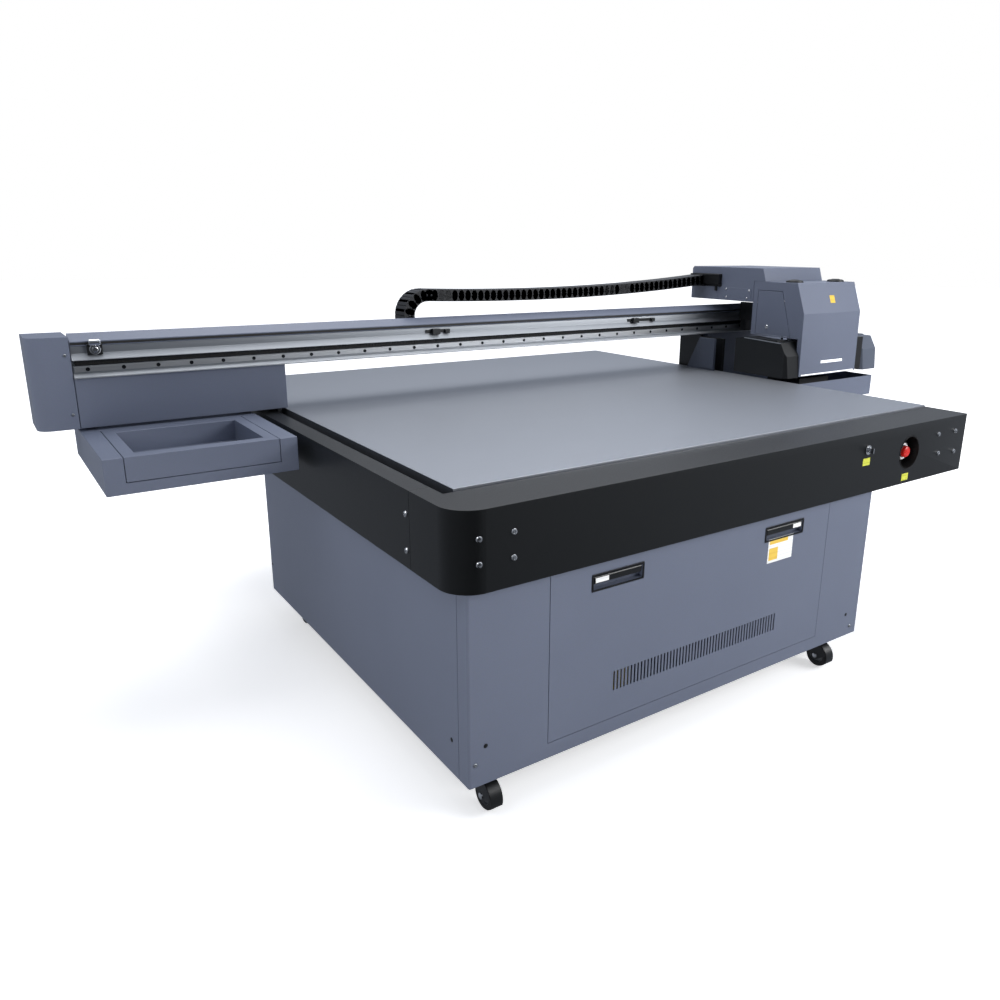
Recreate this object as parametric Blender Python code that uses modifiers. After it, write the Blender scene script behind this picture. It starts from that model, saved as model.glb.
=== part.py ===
"""Flatbed UV printer: cabinet on casters, vacuum table, travelling gantry and print carriage.

Metres, +Z up, +X to the right along the gantry, +Y towards the back. Everything is
drawn from the cabinet's front left corner on the floor, and one empty then moves the
whole machine so that the middle of its footprint is the origin.
"""

import math

import bmesh
import bpy
from mathutils import Matrix, Vector

# ---------------------------------------------------------------- driving dimensions
SHEET = 0.003            # folded sheet steel
GAP = 0.0003             # between pieces that touch
SEAM = 0.002             # shadow gap between panels
CLEAR = 0.006            # room round a piece that moves

WHEEL_RADIUS = 0.050
WHEEL_WIDTH = 0.034
CASTER_HEAD = 0.023      # race and plate above the wheel
CASTER_TRAIL = 0.032
CASTER_INSET = (0.090, 0.180, 0.075, 0.160)   # from the cabinet's left, right, front and back
AXLE_RADIUS = 0.006

CABINET_WIDTH = 1.920
CABINET_DEPTH = 1.820
CABINET_HEIGHT = 0.639   # from the floor pan up to the table's aprons
CABINET_TO_FRAME = 0.005 # room between its panels and the table frame
CORNER_RETURN = 0.060    # the front panel wraps this far round each corner
CORNER_FOLD = 0.008
FRAME_TUBE = 0.040

DOOR_SIDES = (0.292, 0.282)    # cabinet edge to door, left and right
DOOR_SILL = 0.055
DOOR_HEAD = 0.005
DOOR_DEPTH = 0.018
LATCH_INSET = (0.268, 0.263)   # door edge to the middle of each latch
LATCH_DROP = 0.070
LATCH_LENGTH = 0.200
LATCH_HEIGHT = 0.042
PADDLE_HEIGHT = 0.026
VENT_INSET = (0.264, 0.270)    # door edge to the row of air slots
VENT_COUNT = 54
VENT_SILL = 0.102
VENT_HEIGHT = 0.070
VENT_WIDTH = 0.007

INLET_X = 0.300
INLET_RISE = 0.137
INLET_WIDTH = 0.064
INLET_HEIGHT = 0.048
INLET_FLANGE = (0.012, 0.006)
INLET_WALL = 0.007
INLET_DEPTH = 0.040
GRILLE_INSET = 0.730     # from the right edge of the back panel
GRILLE_RISE = 0.177
GRILLE_COUNT = 12
GRILLE_PITCH = 0.024
GRILLE_SLOT = (0.012, 0.120)

ELECTRONICS_SIZE = (0.600, 0.200, 0.460)
ELECTRONICS_INSET = 0.170
BLOWER_X = 0.620
BLOWER_RADIUS = 0.170
BLOWER_THICKNESS = 0.100
MOTOR_RADIUS = 0.090
MOTOR_LENGTH = 0.200
TANK_X = 0.380
TANK_PITCH = 0.130
TANK_SIZE = (0.100, 0.180, 0.250)
TANK_FRONT = 0.200
TANK_NECK_RADIUS = 0.026

OVERHANG_LEFT = 0.050    # table beyond the cabinet
OVERHANG_RIGHT = 0.615
OVERHANG_FRONT = 0.025
OVERHANG_BACK = 0.728
SKIRT_HEIGHT = 0.249
CORNER_RADIUS = 0.100
FASCIA_RETURN = 0.269    # fascia along the left side, from the table's front
FLANGE_DEPTH = 0.188
FLANGE_SIDE = 0.070
LEG_SLOT = 0.036         # open slot that the left leg runs in
BED_EDGE = 0.012
BED_PROUD = 0.008
BED_THICKNESS = 0.034
BED_SKIN = 0.008
BED_RIBS = 5
BEAM_WIDTH = 0.080       # table frame channels
BEAM_HEIGHT = 0.120
BEAM_WALL = 0.006
TABLE_BEAM_INSET = 0.020
RAIL_ROOM = 0.012        # the right channel stands further in, to clear the right apron
RAIL_SIZE = 0.0145
RAIL_HEIGHT = 0.022
RAIL_DROP = 0.070        # rail below the bed's underside
RAIL_ENDS = 0.080

STOP_INSET = 0.428       # from the table's right end
STOP_DROP = 0.118
STOP_CUP_RADIUS = 0.070
STOP_CUP_DEPTH = 0.055
STOP_HEAD_RADIUS = 0.024
STOP_COLLAR = 0.008
STOP_STEM_RADIUS = 0.008
KEY_INSET = 0.725
KEY_DROP = 0.068
KEY_RADIUS = 0.019
KEY_BORE = 0.0075
KEY_BOW = 0.026

GANTRY_LOW = -0.950      # gantry travel towards the front
GANTRY_HIGH = 0.450      # and towards the back
GANTRY_FROM_BACK = 0.949
GANTRY_DEPTH = 0.208
BEAM_CLEARANCE = 0.194   # beam over the bed
BEAM_RISE = 0.127
BEAM_DEPTH = 0.056
FOOT_THICKNESS = 0.035
BEAM_STEP = 0.002        # lower step behind the gantry's front
GUIDE_RISE = 0.023       # guide strip over the beam's underside
GUIDE_SIZE = (0.006, 0.020)
TOP_COVER_RISE = 0.022
COVER_TILT = 0.013       # the cover's front edge is lower by this, its back edge higher
END_COVER_WIDTH = 0.139
END_RADIUS = 0.050
LEFT_PANEL_REACH = 0.110
LEG_THICKNESS = 0.016
LEG_INSET = (0.036, 0.025)
LEG_IN_SLOT = 0.008
LEG_OUTSIDE = 0.025      # right leg beyond the table's edge
BEARING_HEIGHT = 0.060
STATION_GAP = 0.065      # right housing beyond the table's edge
STATION_DEPTH = 0.669
STATION_DROP = 0.019
STATION_HEIGHT = 0.110
STATION_MARGIN = (0.040, 0.135)   # housing beyond the parked carriage
RIGHT_END = 0.160

TRAY_GAP = 0.032
TRAY_WIDTH = 0.654
TRAY_REACH = 0.510
TRAY_HEIGHT = 0.127
TRAY_BELOW_COVER = 0.011
TRAY_FLOOR = 0.041
TRAY_SIDE = 0.064        # carcass wall beside the drawer
TRAY_TO_END = 0.136
DRAWER_RIM = 0.042
DRAWER_BACK_RIM = 0.060
DRAWER_BACK = 0.020      # carcass back before the gantry's front

CARRIAGE_TRAVEL = 2.740  # towards the left; the chain's bend follows at half of it
CARRIAGE_WIDTH = 0.495
CARRIAGE_STANDOFF = 0.287
CARRIAGE_DEPTH = 0.354
CARRIAGE_SLOPE = 0.062
CARRIAGE_CLEARANCE = 0.015
CARRIAGE_RISE = 0.184
KINK_DROP = 0.158
SIDE_RISE = 0.198
TOP_BOX_LAP = 0.078
TOP_BOX_LEAN = 0.024
TOP_BOX_RISE = 0.071
TOP_BOX_CLEARANCE = 0.048
TOP_BOX_BACK_INSET = 0.017
SERVICE_INSET = 0.034
SERVICE_FRONT = (0.157, 0.083)
SERVICE_TOP_DROP = 0.048
SERVICE_SILL = 0.008
LAMP_WIDTH = 0.106
LAMP_RIGHT_WIDTH = 0.134
LAMP_ARM = 0.070         # carries the right lamp clear of the carriage
LAMP_LAP = 0.012         # of a lamp or its arm inside the carriage's side
LAMP_CHAMFER = 0.020
LAMP_CLEARANCE = 0.011
LAMP_HEIGHT = 0.196
LAMP_BACK_REACH = 0.010
BACKPLATE_INSET = (0.220, 0.020)
BACKPLATE_ARM = 0.020
LIGHT_INSET = 0.175
LIGHT_WIDTH = 0.190
LIGHT_RISE = 0.062
LIGHT_HEIGHT = 0.015

CHAIN_THICKNESS = 0.056
CHAIN_WIDTH = 0.100
CHAIN_STEP_BACK = 0.073
CHAIN_RISE_OVER_FOOT = 0.038
CHAIN_RADIUS = 0.094
CHAIN_UPPER_LENGTH = 1.860
CHAIN_LOWER_LENGTH = 1.750
CHAIN_RISE = 0.046
CHAIN_SAG = 0.028
TROUGH_SHEET = 0.002

# ---------------------------------------------------------------- places that follow from them
CABINET_BOTTOM = 2 * WHEEL_RADIUS + CASTER_HEAD
CASTER_X = (CASTER_INSET[0], CABINET_WIDTH - CASTER_INSET[1])
CASTER_Y = (CASTER_INSET[2], CABINET_DEPTH - CASTER_INSET[3])
SKIRT_BOTTOM = CABINET_BOTTOM + CABINET_HEIGHT
SKIRT_TOP = SKIRT_BOTTOM + SKIRT_HEIGHT
FLOOR_TOP = CABINET_BOTTOM + SHEET + GAP
MEMBER_Y = (DOOR_DEPTH + CLEAR + CABINET_DEPTH - SHEET - SEAM - FRAME_TUBE) / 2
MEMBER_TOP = FLOOR_TOP + FRAME_TUBE + GAP

DOOR_LEFT = DOOR_SIDES[0]
DOOR_RIGHT = CABINET_WIDTH - DOOR_SIDES[1]
DOOR_BOTTOM = CABINET_BOTTOM + DOOR_SILL
DOOR_TOP = SKIRT_BOTTOM - DOOR_HEAD
LATCH_X = (DOOR_LEFT + LATCH_INSET[0], DOOR_RIGHT - LATCH_INSET[1])
LATCH_Z = DOOR_TOP - LATCH_DROP
VENT_LEFT = DOOR_LEFT + VENT_INSET[0]
VENT_RIGHT = DOOR_RIGHT - VENT_INSET[1]
VENT_BOTTOM = DOOR_BOTTOM + VENT_SILL
INLET_Z = CABINET_BOTTOM + INLET_RISE

TABLE_LEFT = -OVERHANG_LEFT
TABLE_RIGHT = CABINET_WIDTH + OVERHANG_RIGHT
TABLE_FRONT = -OVERHANG_FRONT
TABLE_BACK = CABINET_DEPTH + OVERHANG_BACK
FASCIA_WRAP = TABLE_FRONT + FASCIA_RETURN
FLANGE_BACK = TABLE_FRONT + FLANGE_DEPTH
SLOT_LEFT = TABLE_LEFT + FLANGE_SIDE
BED_LEFT = SLOT_LEFT + LEG_SLOT
BED_RIGHT = TABLE_RIGHT - BED_EDGE
BED_FRONT = FLANGE_BACK + CLEAR
BED_BACK = TABLE_BACK - SHEET - SEAM
BED_TOP = SKIRT_TOP + BED_PROUD
BED_UNDER = BED_TOP - BED_THICKNESS
CABINET_TOP = BED_UNDER - BEAM_HEIGHT - CABINET_TO_FRAME
RAIL_Z = BED_UNDER - RAIL_DROP
RAIL_FACE_LEFT = BED_LEFT + TABLE_BEAM_INSET - GAP
RAIL_FACE_RIGHT = BED_RIGHT - TABLE_BEAM_INSET - RAIL_ROOM + GAP
STOP_X = TABLE_RIGHT - STOP_INSET
STOP_Z = SKIRT_TOP - STOP_DROP
KEY_X = TABLE_RIGHT - KEY_INSET
KEY_Z = SKIRT_TOP - KEY_DROP

GANTRY_FRONT = TABLE_BACK - GANTRY_FROM_BACK
GANTRY_BACK = GANTRY_FRONT + GANTRY_DEPTH
BEAM_BOTTOM = BED_TOP + BEAM_CLEARANCE
BEAM_TOP = BEAM_BOTTOM + BEAM_RISE
GANTRY_TOP = BEAM_TOP + TOP_COVER_RISE
COVER_BOTTOM = BED_TOP + CLEAR
LEFT_PANEL_RIGHT = TABLE_LEFT + LEFT_PANEL_REACH
LEG_LEFT_X = SLOT_LEFT + LEG_IN_SLOT
LEG_FRONT = GANTRY_FRONT + LEG_INSET[0]
LEG_BACK = GANTRY_BACK - LEG_INSET[1]
LEG_RIGHT_X = TABLE_RIGHT + LEG_OUTSIDE
TRAY_RIGHT = TABLE_LEFT - TRAY_GAP
TRAY_LEFT = TRAY_RIGHT - TRAY_WIDTH
TRAY_FRONT = GANTRY_FRONT - TRAY_REACH
TRAY_TOP = COVER_BOTTOM - TRAY_BELOW_COVER
TRAY_BOTTOM = TRAY_TOP - TRAY_HEIGHT
DRAWER_BOTTOM = TRAY_BOTTOM + TRAY_FLOOR
STATION_LEFT = TABLE_RIGHT + STATION_GAP
CARRIAGE_LEFT = STATION_LEFT + STATION_MARGIN[0]
CARRIAGE_RIGHT = CARRIAGE_LEFT + CARRIAGE_WIDTH
STATION_RIGHT = CARRIAGE_RIGHT + STATION_MARGIN[1]
STATION_FRONT = GANTRY_FRONT - STATION_DEPTH
STATION_TOP = BED_TOP - STATION_DROP
GANTRY_LEFT = TRAY_LEFT - TRAY_TO_END
GANTRY_RIGHT = STATION_RIGHT + RIGHT_END
BEAM_LEFT = GANTRY_LEFT + END_COVER_WIDTH + SEAM
BEAM_RIGHT = GANTRY_RIGHT - END_COVER_WIDTH - SEAM

CARRIAGE_BACK = GANTRY_FRONT - CARRIAGE_STANDOFF
CARRIAGE_NOSE = CARRIAGE_BACK - CARRIAGE_DEPTH
CARRIAGE_TOP_FRONT = CARRIAGE_NOSE + CARRIAGE_SLOPE
CARRIAGE_BOTTOM = BED_TOP + CARRIAGE_CLEARANCE
CARRIAGE_TOP = BEAM_TOP + CARRIAGE_RISE
CARRIAGE_BEND = CARRIAGE_TOP - KINK_DROP
SIDE_BOTTOM = CARRIAGE_BOTTOM + SIDE_RISE
TOP_BOX_FRONT = CARRIAGE_BACK - TOP_BOX_LAP
TOP_BOX_BACK = GANTRY_BACK - TOP_BOX_BACK_INSET
TOP_BOX_TOP = CARRIAGE_TOP + TOP_BOX_RISE
TOP_BOX_BOTTOM = GANTRY_TOP + TOP_BOX_CLEARANCE
SERVICE_HINGE_Y = CARRIAGE_BACK - SERVICE_INSET
SERVICE_TOP_Y = CARRIAGE_NOSE + SERVICE_FRONT[0]
SERVICE_BOTTOM_Y = CARRIAGE_NOSE + SERVICE_FRONT[1]
SERVICE_TOP = CARRIAGE_TOP - SERVICE_TOP_DROP
SERVICE_BOTTOM = SIDE_BOTTOM + SERVICE_SILL
LAMP_BACK = CARRIAGE_BACK + LAMP_BACK_REACH
LAMP_BOTTOM = BED_TOP + LAMP_CLEARANCE
BACKPLATE_LEFT = CARRIAGE_LEFT + BACKPLATE_INSET[0]
BACKPLATE_RIGHT = CARRIAGE_RIGHT - BACKPLATE_INSET[1]
CHAIN_FRONT = GANTRY_FRONT + CHAIN_STEP_BACK
CHAIN_BEND_X = CARRIAGE_LEFT - CHAIN_UPPER_LENGTH
CHAIN_LOWER_Z = BEAM_BOTTOM + FOOT_THICKNESS + CHAIN_RISE_OVER_FOOT
CHAIN_UPPER_Z = CHAIN_LOWER_Z + 2 * CHAIN_RADIUS

# ---------------------------------------------------------------- finishes
FINISHES = {
    "blue_grey_paint": ((0.130, 0.150, 0.190), 0.45, 0.0),
    "black_paint": ((0.012, 0.014, 0.017), 0.35, 0.0),
    "bed_aluminium": ((0.420, 0.430, 0.450), 0.30, 1.0),
    "beam_aluminium": ((0.560, 0.580, 0.600), 0.28, 1.0),
    "rail_steel": ((0.500, 0.500, 0.500), 0.22, 1.0),
    "frame_steel": ((0.080, 0.085, 0.095), 0.55, 0.0),
    "black_plastic": ((0.015, 0.015, 0.017), 0.40, 0.0),
    "black_rubber": ((0.020, 0.020, 0.020), 0.80, 0.0),
    "zinc_steel": ((0.600, 0.600, 0.590), 0.30, 1.0),
    "red_plastic": ((0.600, 0.020, 0.015), 0.30, 0.0),
    "chrome": ((0.750, 0.750, 0.760), 0.12, 1.0),
    "lamp_grey": ((0.060, 0.066, 0.075), 0.45, 0.0),
    "white_diffuser": ((0.850, 0.870, 0.880), 0.40, 0.0),
    "ink_tank": ((0.500, 0.500, 0.500), 0.50, 0.0),
}


def finish(name):
    """The painted, cast or moulded finish of this name, made once."""
    found = bpy.data.materials.get(name)
    if found:
        return found
    colour, roughness, metallic = FINISHES[name]
    material = bpy.data.materials.new(name)
    material.use_nodes = True
    shader = material.node_tree.nodes["Principled BSDF"]
    shader.inputs["Base Color"].default_value = (*colour, 1.0)
    shader.inputs["Roughness"].default_value = roughness
    shader.inputs["Metallic"].default_value = metallic
    return material


# ---------------------------------------------------------------- scene and helpers
for old in list(bpy.data.objects):
    bpy.data.objects.remove(old, do_unlink=True)

parts = bpy.data.collections.new("flatbed_uv_printer")
bpy.context.scene.collection.children.link(parts)

printer = bpy.data.objects.new("printer_origin", None)
printer.location = (
    -(GANTRY_LEFT + GANTRY_RIGHT) / 2,
    -(TABLE_FRONT - KEY_BOW + TABLE_BACK) / 2,
    0,
)
parts.objects.link(printer)


def solid(name, mesh_maker):
    """A mesh object that stands in machine coordinates, not yet in the collection of parts."""
    bm = bmesh.new()
    mesh_maker(bm)
    bmesh.ops.recalc_face_normals(bm, faces=bm.faces)
    mesh = bpy.data.meshes.new(name)
    bm.to_mesh(mesh)
    bm.free()
    obj = bpy.data.objects.new(name, mesh)
    bpy.context.scene.collection.objects.link(obj)
    return obj


def box(low, high, name="box"):
    """A block between two corners."""
    size = Vector(high) - Vector(low)
    middle = (Vector(high) + Vector(low)) / 2
    place = Matrix.Translation(middle) @ Matrix.Diagonal((*size, 1))
    return solid(name, lambda bm: bmesh.ops.create_cube(bm, size=1, matrix=place))


TURN_TO = {
    "x": Matrix(((0, 0, 1), (1, 0, 0), (0, 1, 0))).to_4x4(),
    "y": Matrix(((0, 1, 0), (0, 0, 1), (1, 0, 0))).to_4x4(),
    "z": Matrix.Identity(4),
}


def cylinder(centre, radius, length, axis, sides=24, top_radius=None, name="cylinder"):
    """A round bar or cone whose middle is centre, along x, y or z."""
    place = Matrix.Translation(Vector(centre)) @ TURN_TO[axis]
    end = radius if top_radius is None else top_radius
    return solid(name, lambda bm: bmesh.ops.create_cone(
        bm, cap_ends=True, segments=sides, radius1=radius, radius2=end,
        depth=length, matrix=place))


def prism(outline, start, end, axis, name="prism"):
    """A flat outline pushed from start to end: (y, z) along x, (x, z) along y, (x, y) along z."""
    curve = bpy.data.curves.new(name, "CURVE")
    curve.dimensions = "2D"
    curve.fill_mode = "BOTH"
    curve.extrude = (end - start) / 2
    spline = curve.splines.new("POLY")
    spline.points.add(len(outline) - 1)
    for point, (across, up) in zip(spline.points, outline):
        point.co = (across, up, 0, 1)
    spline.use_cyclic_u = True
    guide = bpy.data.objects.new(name, curve)
    bpy.context.scene.collection.objects.link(guide)
    bpy.context.view_layer.update()
    mesh = bpy.data.meshes.new_from_object(guide.evaluated_get(bpy.context.evaluated_depsgraph_get()))
    bpy.data.objects.remove(guide, do_unlink=True)
    bpy.data.curves.remove(curve)
    turn = Matrix(((1, 0, 0), (0, 0, 1), (0, 1, 0))).to_4x4() if axis == "y" else TURN_TO[axis]
    shift = {"x": (1, 0, 0), "y": (0, 1, 0), "z": (0, 0, 1)}[axis]
    mesh.transform(Matrix.Translation(Vector(shift) * (start + end) / 2) @ turn)
    bm = bmesh.new()
    bm.from_mesh(mesh)
    bmesh.ops.remove_doubles(bm, verts=bm.verts, dist=0.00001)
    bmesh.ops.recalc_face_normals(bm, faces=bm.faces)
    bm.to_mesh(mesh)
    bm.free()
    obj = bpy.data.objects.new(name, mesh)
    bpy.context.scene.collection.objects.link(obj)
    return obj


def merge(pieces):
    """One mesh object that holds several loose ones, for use as a cutter."""
    bm = bmesh.new()
    for piece in pieces:
        bm.from_mesh(piece.data)
        bpy.data.objects.remove(piece, do_unlink=True)
    mesh = bpy.data.meshes.new("cutters")
    bm.to_mesh(mesh)
    bm.free()
    obj = bpy.data.objects.new("cutters", mesh)
    bpy.context.scene.collection.objects.link(obj)
    return obj


def combine(target, other, operation):
    """Applies one exact Boolean to target and removes the other solid."""
    modifier = target.modifiers.new("combine", "BOOLEAN")
    modifier.operation = operation
    modifier.solver = "EXACT"
    modifier.object = other
    bpy.context.view_layer.update()
    graph = bpy.context.evaluated_depsgraph_get()
    mesh = bpy.data.meshes.new_from_object(target.evaluated_get(graph))
    target.modifiers.clear()
    target.data = mesh
    bpy.data.objects.remove(other, do_unlink=True)
    return target


def cut(target, *cutters):
    return combine(target, merge(cutters), "DIFFERENCE")


def join(target, *others):
    for other in others:
        combine(target, other, "UNION")
    return target


def boxes(*corners):
    """Blocks that overlap, welded into one solid."""
    return join(*[box(low, high) for low, high in corners])


def bevel(obj, width, segments=2, angle=40):
    """Rounds the sharp edges of a finished solid."""
    modifier = obj.modifiers.new("rounding", "BEVEL")
    modifier.width = width
    modifier.segments = segments
    modifier.limit_method = "ANGLE"
    modifier.angle_limit = math.radians(angle)
    return obj


def bake(obj):
    """Applies an object's modifiers."""
    bpy.context.view_layer.update()
    graph = bpy.context.evaluated_depsgraph_get()
    mesh = bpy.data.meshes.new_from_object(obj.evaluated_get(graph))
    obj.modifiers.clear()
    obj.data = mesh
    return obj


def turned(profile, centre, sides):
    """A profile of (radius, y) pairs spun round an axis along y."""
    def make(bm):
        rings = [[bm.verts.new((centre[0] + radius, y, centre[1]))] for radius, y in profile]
        verts = [ring[0] for ring in rings]
        edges = [bm.edges.new(pair) for pair in zip(verts, verts[1:])]
        bmesh.ops.spin(bm, geom=verts + edges, cent=(centre[0], 0, centre[1]), axis=(0, 1, 0),
                       angle=math.tau, steps=sides, use_duplicate=False)
        bmesh.ops.remove_doubles(bm, verts=bm.verts, dist=0.00002)
    return solid("turned", make)


def part(name, obj, material, pivot=(0, 0, 0)):
    """Names a finished solid, gives it its finish and puts its origin at pivot."""
    obj.name = name
    obj.data.name = name
    obj.data.materials.clear()
    obj.data.materials.append(finish(material))
    obj.data.transform(Matrix.Translation(-Vector(pivot)))
    obj.data.shade_smooth()
    obj.data.set_sharp_from_angle(angle=math.radians(30))
    for collection in list(obj.users_collection):
        collection.objects.unlink(obj)
    parts.objects.link(obj)
    obj.parent = printer
    obj.location = pivot
    return obj


def arc(centre, radius, start, end, steps):
    """Points on a circle, from one angle to another in degrees."""
    return [
        (centre[0] + radius * math.cos(math.radians(start + (end - start) * i / steps)),
         centre[1] + radius * math.sin(math.radians(start + (end - start) * i / steps)))
        for i in range(steps + 1)
    ]


# ---------------------------------------------------------------- cabinet
def base_frame():
    """Welded square tube: four posts between a lower and an upper ring, with cross members."""
    t = FRAME_TUBE
    x0, x1 = SHEET + SEAM, CABINET_WIDTH - SHEET - SEAM
    y0, y1 = DOOR_DEPTH + CLEAR, CABINET_DEPTH - SHEET - SEAM
    z0, z1 = FLOOR_TOP, BED_UNDER - BEAM_HEIGHT - 2 * GAP
    bars = []
    for x in (x0, x1 - t):
        for y in (y0, y1 - t):
            bars.append(((x, y, z0), (x + t, y + t, z1)))
    for z in (z0, z1 - t):
        for y in (y0, y1 - t):
            bars.append(((x0, y, z), (x1, y + t, z + t)))
        for x in (x0, x1 - t):
            bars.append(((x, y0, z), (x + t, y1, z + t)))
    for z in (z0, z1 - t):
        bars.append(((x0, MEMBER_Y, z), (x1, MEMBER_Y + t, z + t)))
    part("base_frame", boxes(*bars), "frame_steel")


def cabinet_floor():
    """Floor pan that the casters bolt to, between the side panels."""
    low = (SHEET + SEAM, SHEET + SEAM, CABINET_BOTTOM)
    high = (CABINET_WIDTH - SHEET - SEAM, CABINET_DEPTH - SHEET - SEAM, CABINET_BOTTOM + SHEET)
    part("cabinet_floor", box(low, high), "frame_steel")


def cabinet_front():
    """Front panel with returns round both corners and the door opening."""
    r = CORNER_FOLD
    outer = (arc((r, r), r, 180, 270, 4) + arc((CABINET_WIDTH - r, r), r, 270, 360, 4)
             + [(CABINET_WIDTH, CORNER_RETURN), (0, CORNER_RETURN)])
    panel = prism(outer, CABINET_BOTTOM, CABINET_TOP, "z")
    inside = box((SHEET, SHEET, CABINET_BOTTOM - 1),
                 (CABINET_WIDTH - SHEET, CORNER_RETURN + 1, CABINET_TOP + 1))
    opening = box((DOOR_LEFT - SEAM, -1, DOOR_BOTTOM - SEAM), (DOOR_RIGHT + SEAM, 1, DOOR_TOP + SEAM))
    part("cabinet_front", cut(cut(panel, inside), opening), "blue_grey_paint")


def cabinet_sides():
    """Flat side panels from the front panel's return to the back panel."""
    y0, y1 = CORNER_RETURN + SEAM, CABINET_DEPTH - SHEET - GAP
    for name, x in (("cabinet_left", 0), ("cabinet_right", CABINET_WIDTH - SHEET)):
        part(name, box((x, y0, CABINET_BOTTOM), (x + SHEET, y1, CABINET_TOP)), "blue_grey_paint")


def cabinet_back():
    """Back panel with an exhaust grille and the hole for the power inlet."""
    panel = box((0, CABINET_DEPTH - SHEET, CABINET_BOTTOM), (CABINET_WIDTH, CABINET_DEPTH, CABINET_TOP))
    y0, y1 = CABINET_DEPTH - 1, CABINET_DEPTH + 1
    z = CABINET_BOTTOM + GRILLE_RISE
    slots = []
    for i in range(GRILLE_COUNT):
        x = CABINET_WIDTH - GRILLE_INSET + i * GRILLE_PITCH
        slots.append(box((x, y0, z), (x + GRILLE_SLOT[0], y1, z + GRILLE_SLOT[1])))
    slots.append(box((INLET_X - INLET_WIDTH / 2, y0, INLET_Z - INLET_HEIGHT / 2),
                     (INLET_X + INLET_WIDTH / 2, y1, INLET_Z + INLET_HEIGHT / 2)))
    part("cabinet_back", cut(panel, *slots), "blue_grey_paint")


def power_inlet():
    """Panel-mounted mains inlet: a flange outside the back panel and a socket with a blind hollow."""
    w, h, y = INLET_WIDTH / 2, INLET_HEIGHT / 2, CABINET_DEPTH
    side, rim = INLET_FLANGE
    flange = box((INLET_X - w - side, y + GAP, INLET_Z - h - rim),
                 (INLET_X + w + side, y + SHEET, INLET_Z + h + rim))
    w, h = w - SEAM / 2, h - SEAM / 2
    body = box((INLET_X - w, y - INLET_DEPTH, INLET_Z - h), (INLET_X + w, y + SHEET / 2, INLET_Z + h))
    w, h = w - INLET_WALL, h - INLET_WALL
    hollow = box((INLET_X - w, y - INLET_DEPTH + INLET_WALL, INLET_Z - h), (INLET_X + w, y + 1, INLET_Z + h))
    part("power_inlet", cut(join(flange, body), hollow), "black_plastic")


def front_door():
    """Pan-shaped door, hinged along its bottom edge, with latch pockets and a row of air slots."""
    outer = box((DOOR_LEFT, 0, DOOR_BOTTOM), (DOOR_RIGHT, DOOR_DEPTH, DOOR_TOP))
    inner = box((DOOR_LEFT + SHEET, SHEET, DOOR_BOTTOM + SHEET),
                (DOOR_RIGHT - SHEET, DOOR_DEPTH + 1, DOOR_TOP - SHEET))
    door = cut(outer, inner)
    half, height, wall = LATCH_LENGTH / 2 + SEAM, LATCH_HEIGHT / 2 + SEAM, SHEET
    for x in LATCH_X:
        pocket = box((x - half - wall, SHEET / 2, LATCH_Z - height - wall),
                     (x + half + wall, DOOR_DEPTH + wall, LATCH_Z + height + wall))
        hollow = box((x - half, -1, LATCH_Z - height), (x + half, DOOR_DEPTH, LATCH_Z + height))
        door = cut(join(door, pocket), hollow)
    pitch = (VENT_RIGHT - VENT_LEFT - VENT_WIDTH) / (VENT_COUNT - 1)
    slots = []
    for i in range(VENT_COUNT):
        x = VENT_LEFT + i * pitch
        slots.append(box((x, -1, VENT_BOTTOM), (x + VENT_WIDTH, 1, VENT_BOTTOM + VENT_HEIGHT)))
    part("front_door", cut(door, *slots), "blue_grey_paint", pivot=(DOOR_LEFT, 0, DOOR_BOTTOM))


def latches():
    """Sprung paddle latches: each hangs from a pin line along its top edge inside its pocket."""
    half, top = LATCH_LENGTH / 2 - SEAM, LATCH_Z + LATCH_HEIGHT / 2 - SEAM
    low, thin, thick = top + SEAM - PADDLE_HEIGHT, 0.005, 0.010
    for name, x in zip(("latch_left", "latch_right"), LATCH_X):
        outline = [(0.0005, low), (0.0005, top), (thick, top), (thick, top - thick), (thin, low)]
        paddle = prism(outline, x - half, x + half, "x")
        part(name, paddle, "black_plastic", pivot=(x, thin, top - SEAM))


def electronics_box():
    """Steel control cabinet with a lid line, on the cabinet's floor."""
    width, depth, height = ELECTRONICS_SIZE
    x1, y0, z0, rim = CABINET_WIDTH - ELECTRONICS_INSET, MEMBER_Y + 0.008, MEMBER_TOP, 0.010
    case = box((x1 - width, y0, z0), (x1, y0 + depth, z0 + height))
    lid = box((x1 - width + rim, MEMBER_Y, z0 + rim), (x1 - rim, y0 + rim, z0 + height - rim))
    inside = box((x1 - width + SHEET, y0 + rim + SHEET, z0 - 1),
                 (x1 - SHEET, y0 + depth - SHEET, z0 + height - SHEET))
    part("electronics_box", cut(join(case, lid), inside), "lamp_grey")


def vacuum_blower():
    """Side-channel blower: round housing, motor and outlet stub, standing on the middle member."""
    x, y, z, lift = BLOWER_X, MEMBER_Y + BLOWER_THICKNESS / 2, MEMBER_TOP + BLOWER_RADIUS, 0.020
    foot = box((x - 0.130, MEMBER_Y, MEMBER_TOP), (x + 0.130, MEMBER_Y + 0.150, MEMBER_TOP + 0.030))
    housing = cylinder((x, y, z + lift), BLOWER_RADIUS, BLOWER_THICKNESS, "y", 32)
    motor = cylinder((x, y + BLOWER_THICKNESS / 2 + 0.4 * MOTOR_LENGTH, z + lift), MOTOR_RADIUS,
                     MOTOR_LENGTH, "y", 24)
    outlet = cylinder((x + BLOWER_RADIUS - 0.060, y, z + BLOWER_RADIUS + 0.030), 0.032, 0.140, "z", 16)
    part("vacuum_blower", join(foot, housing, motor, outlet), "zinc_steel")


INKS = ("black", "cyan", "magenta", "yellow")


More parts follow.
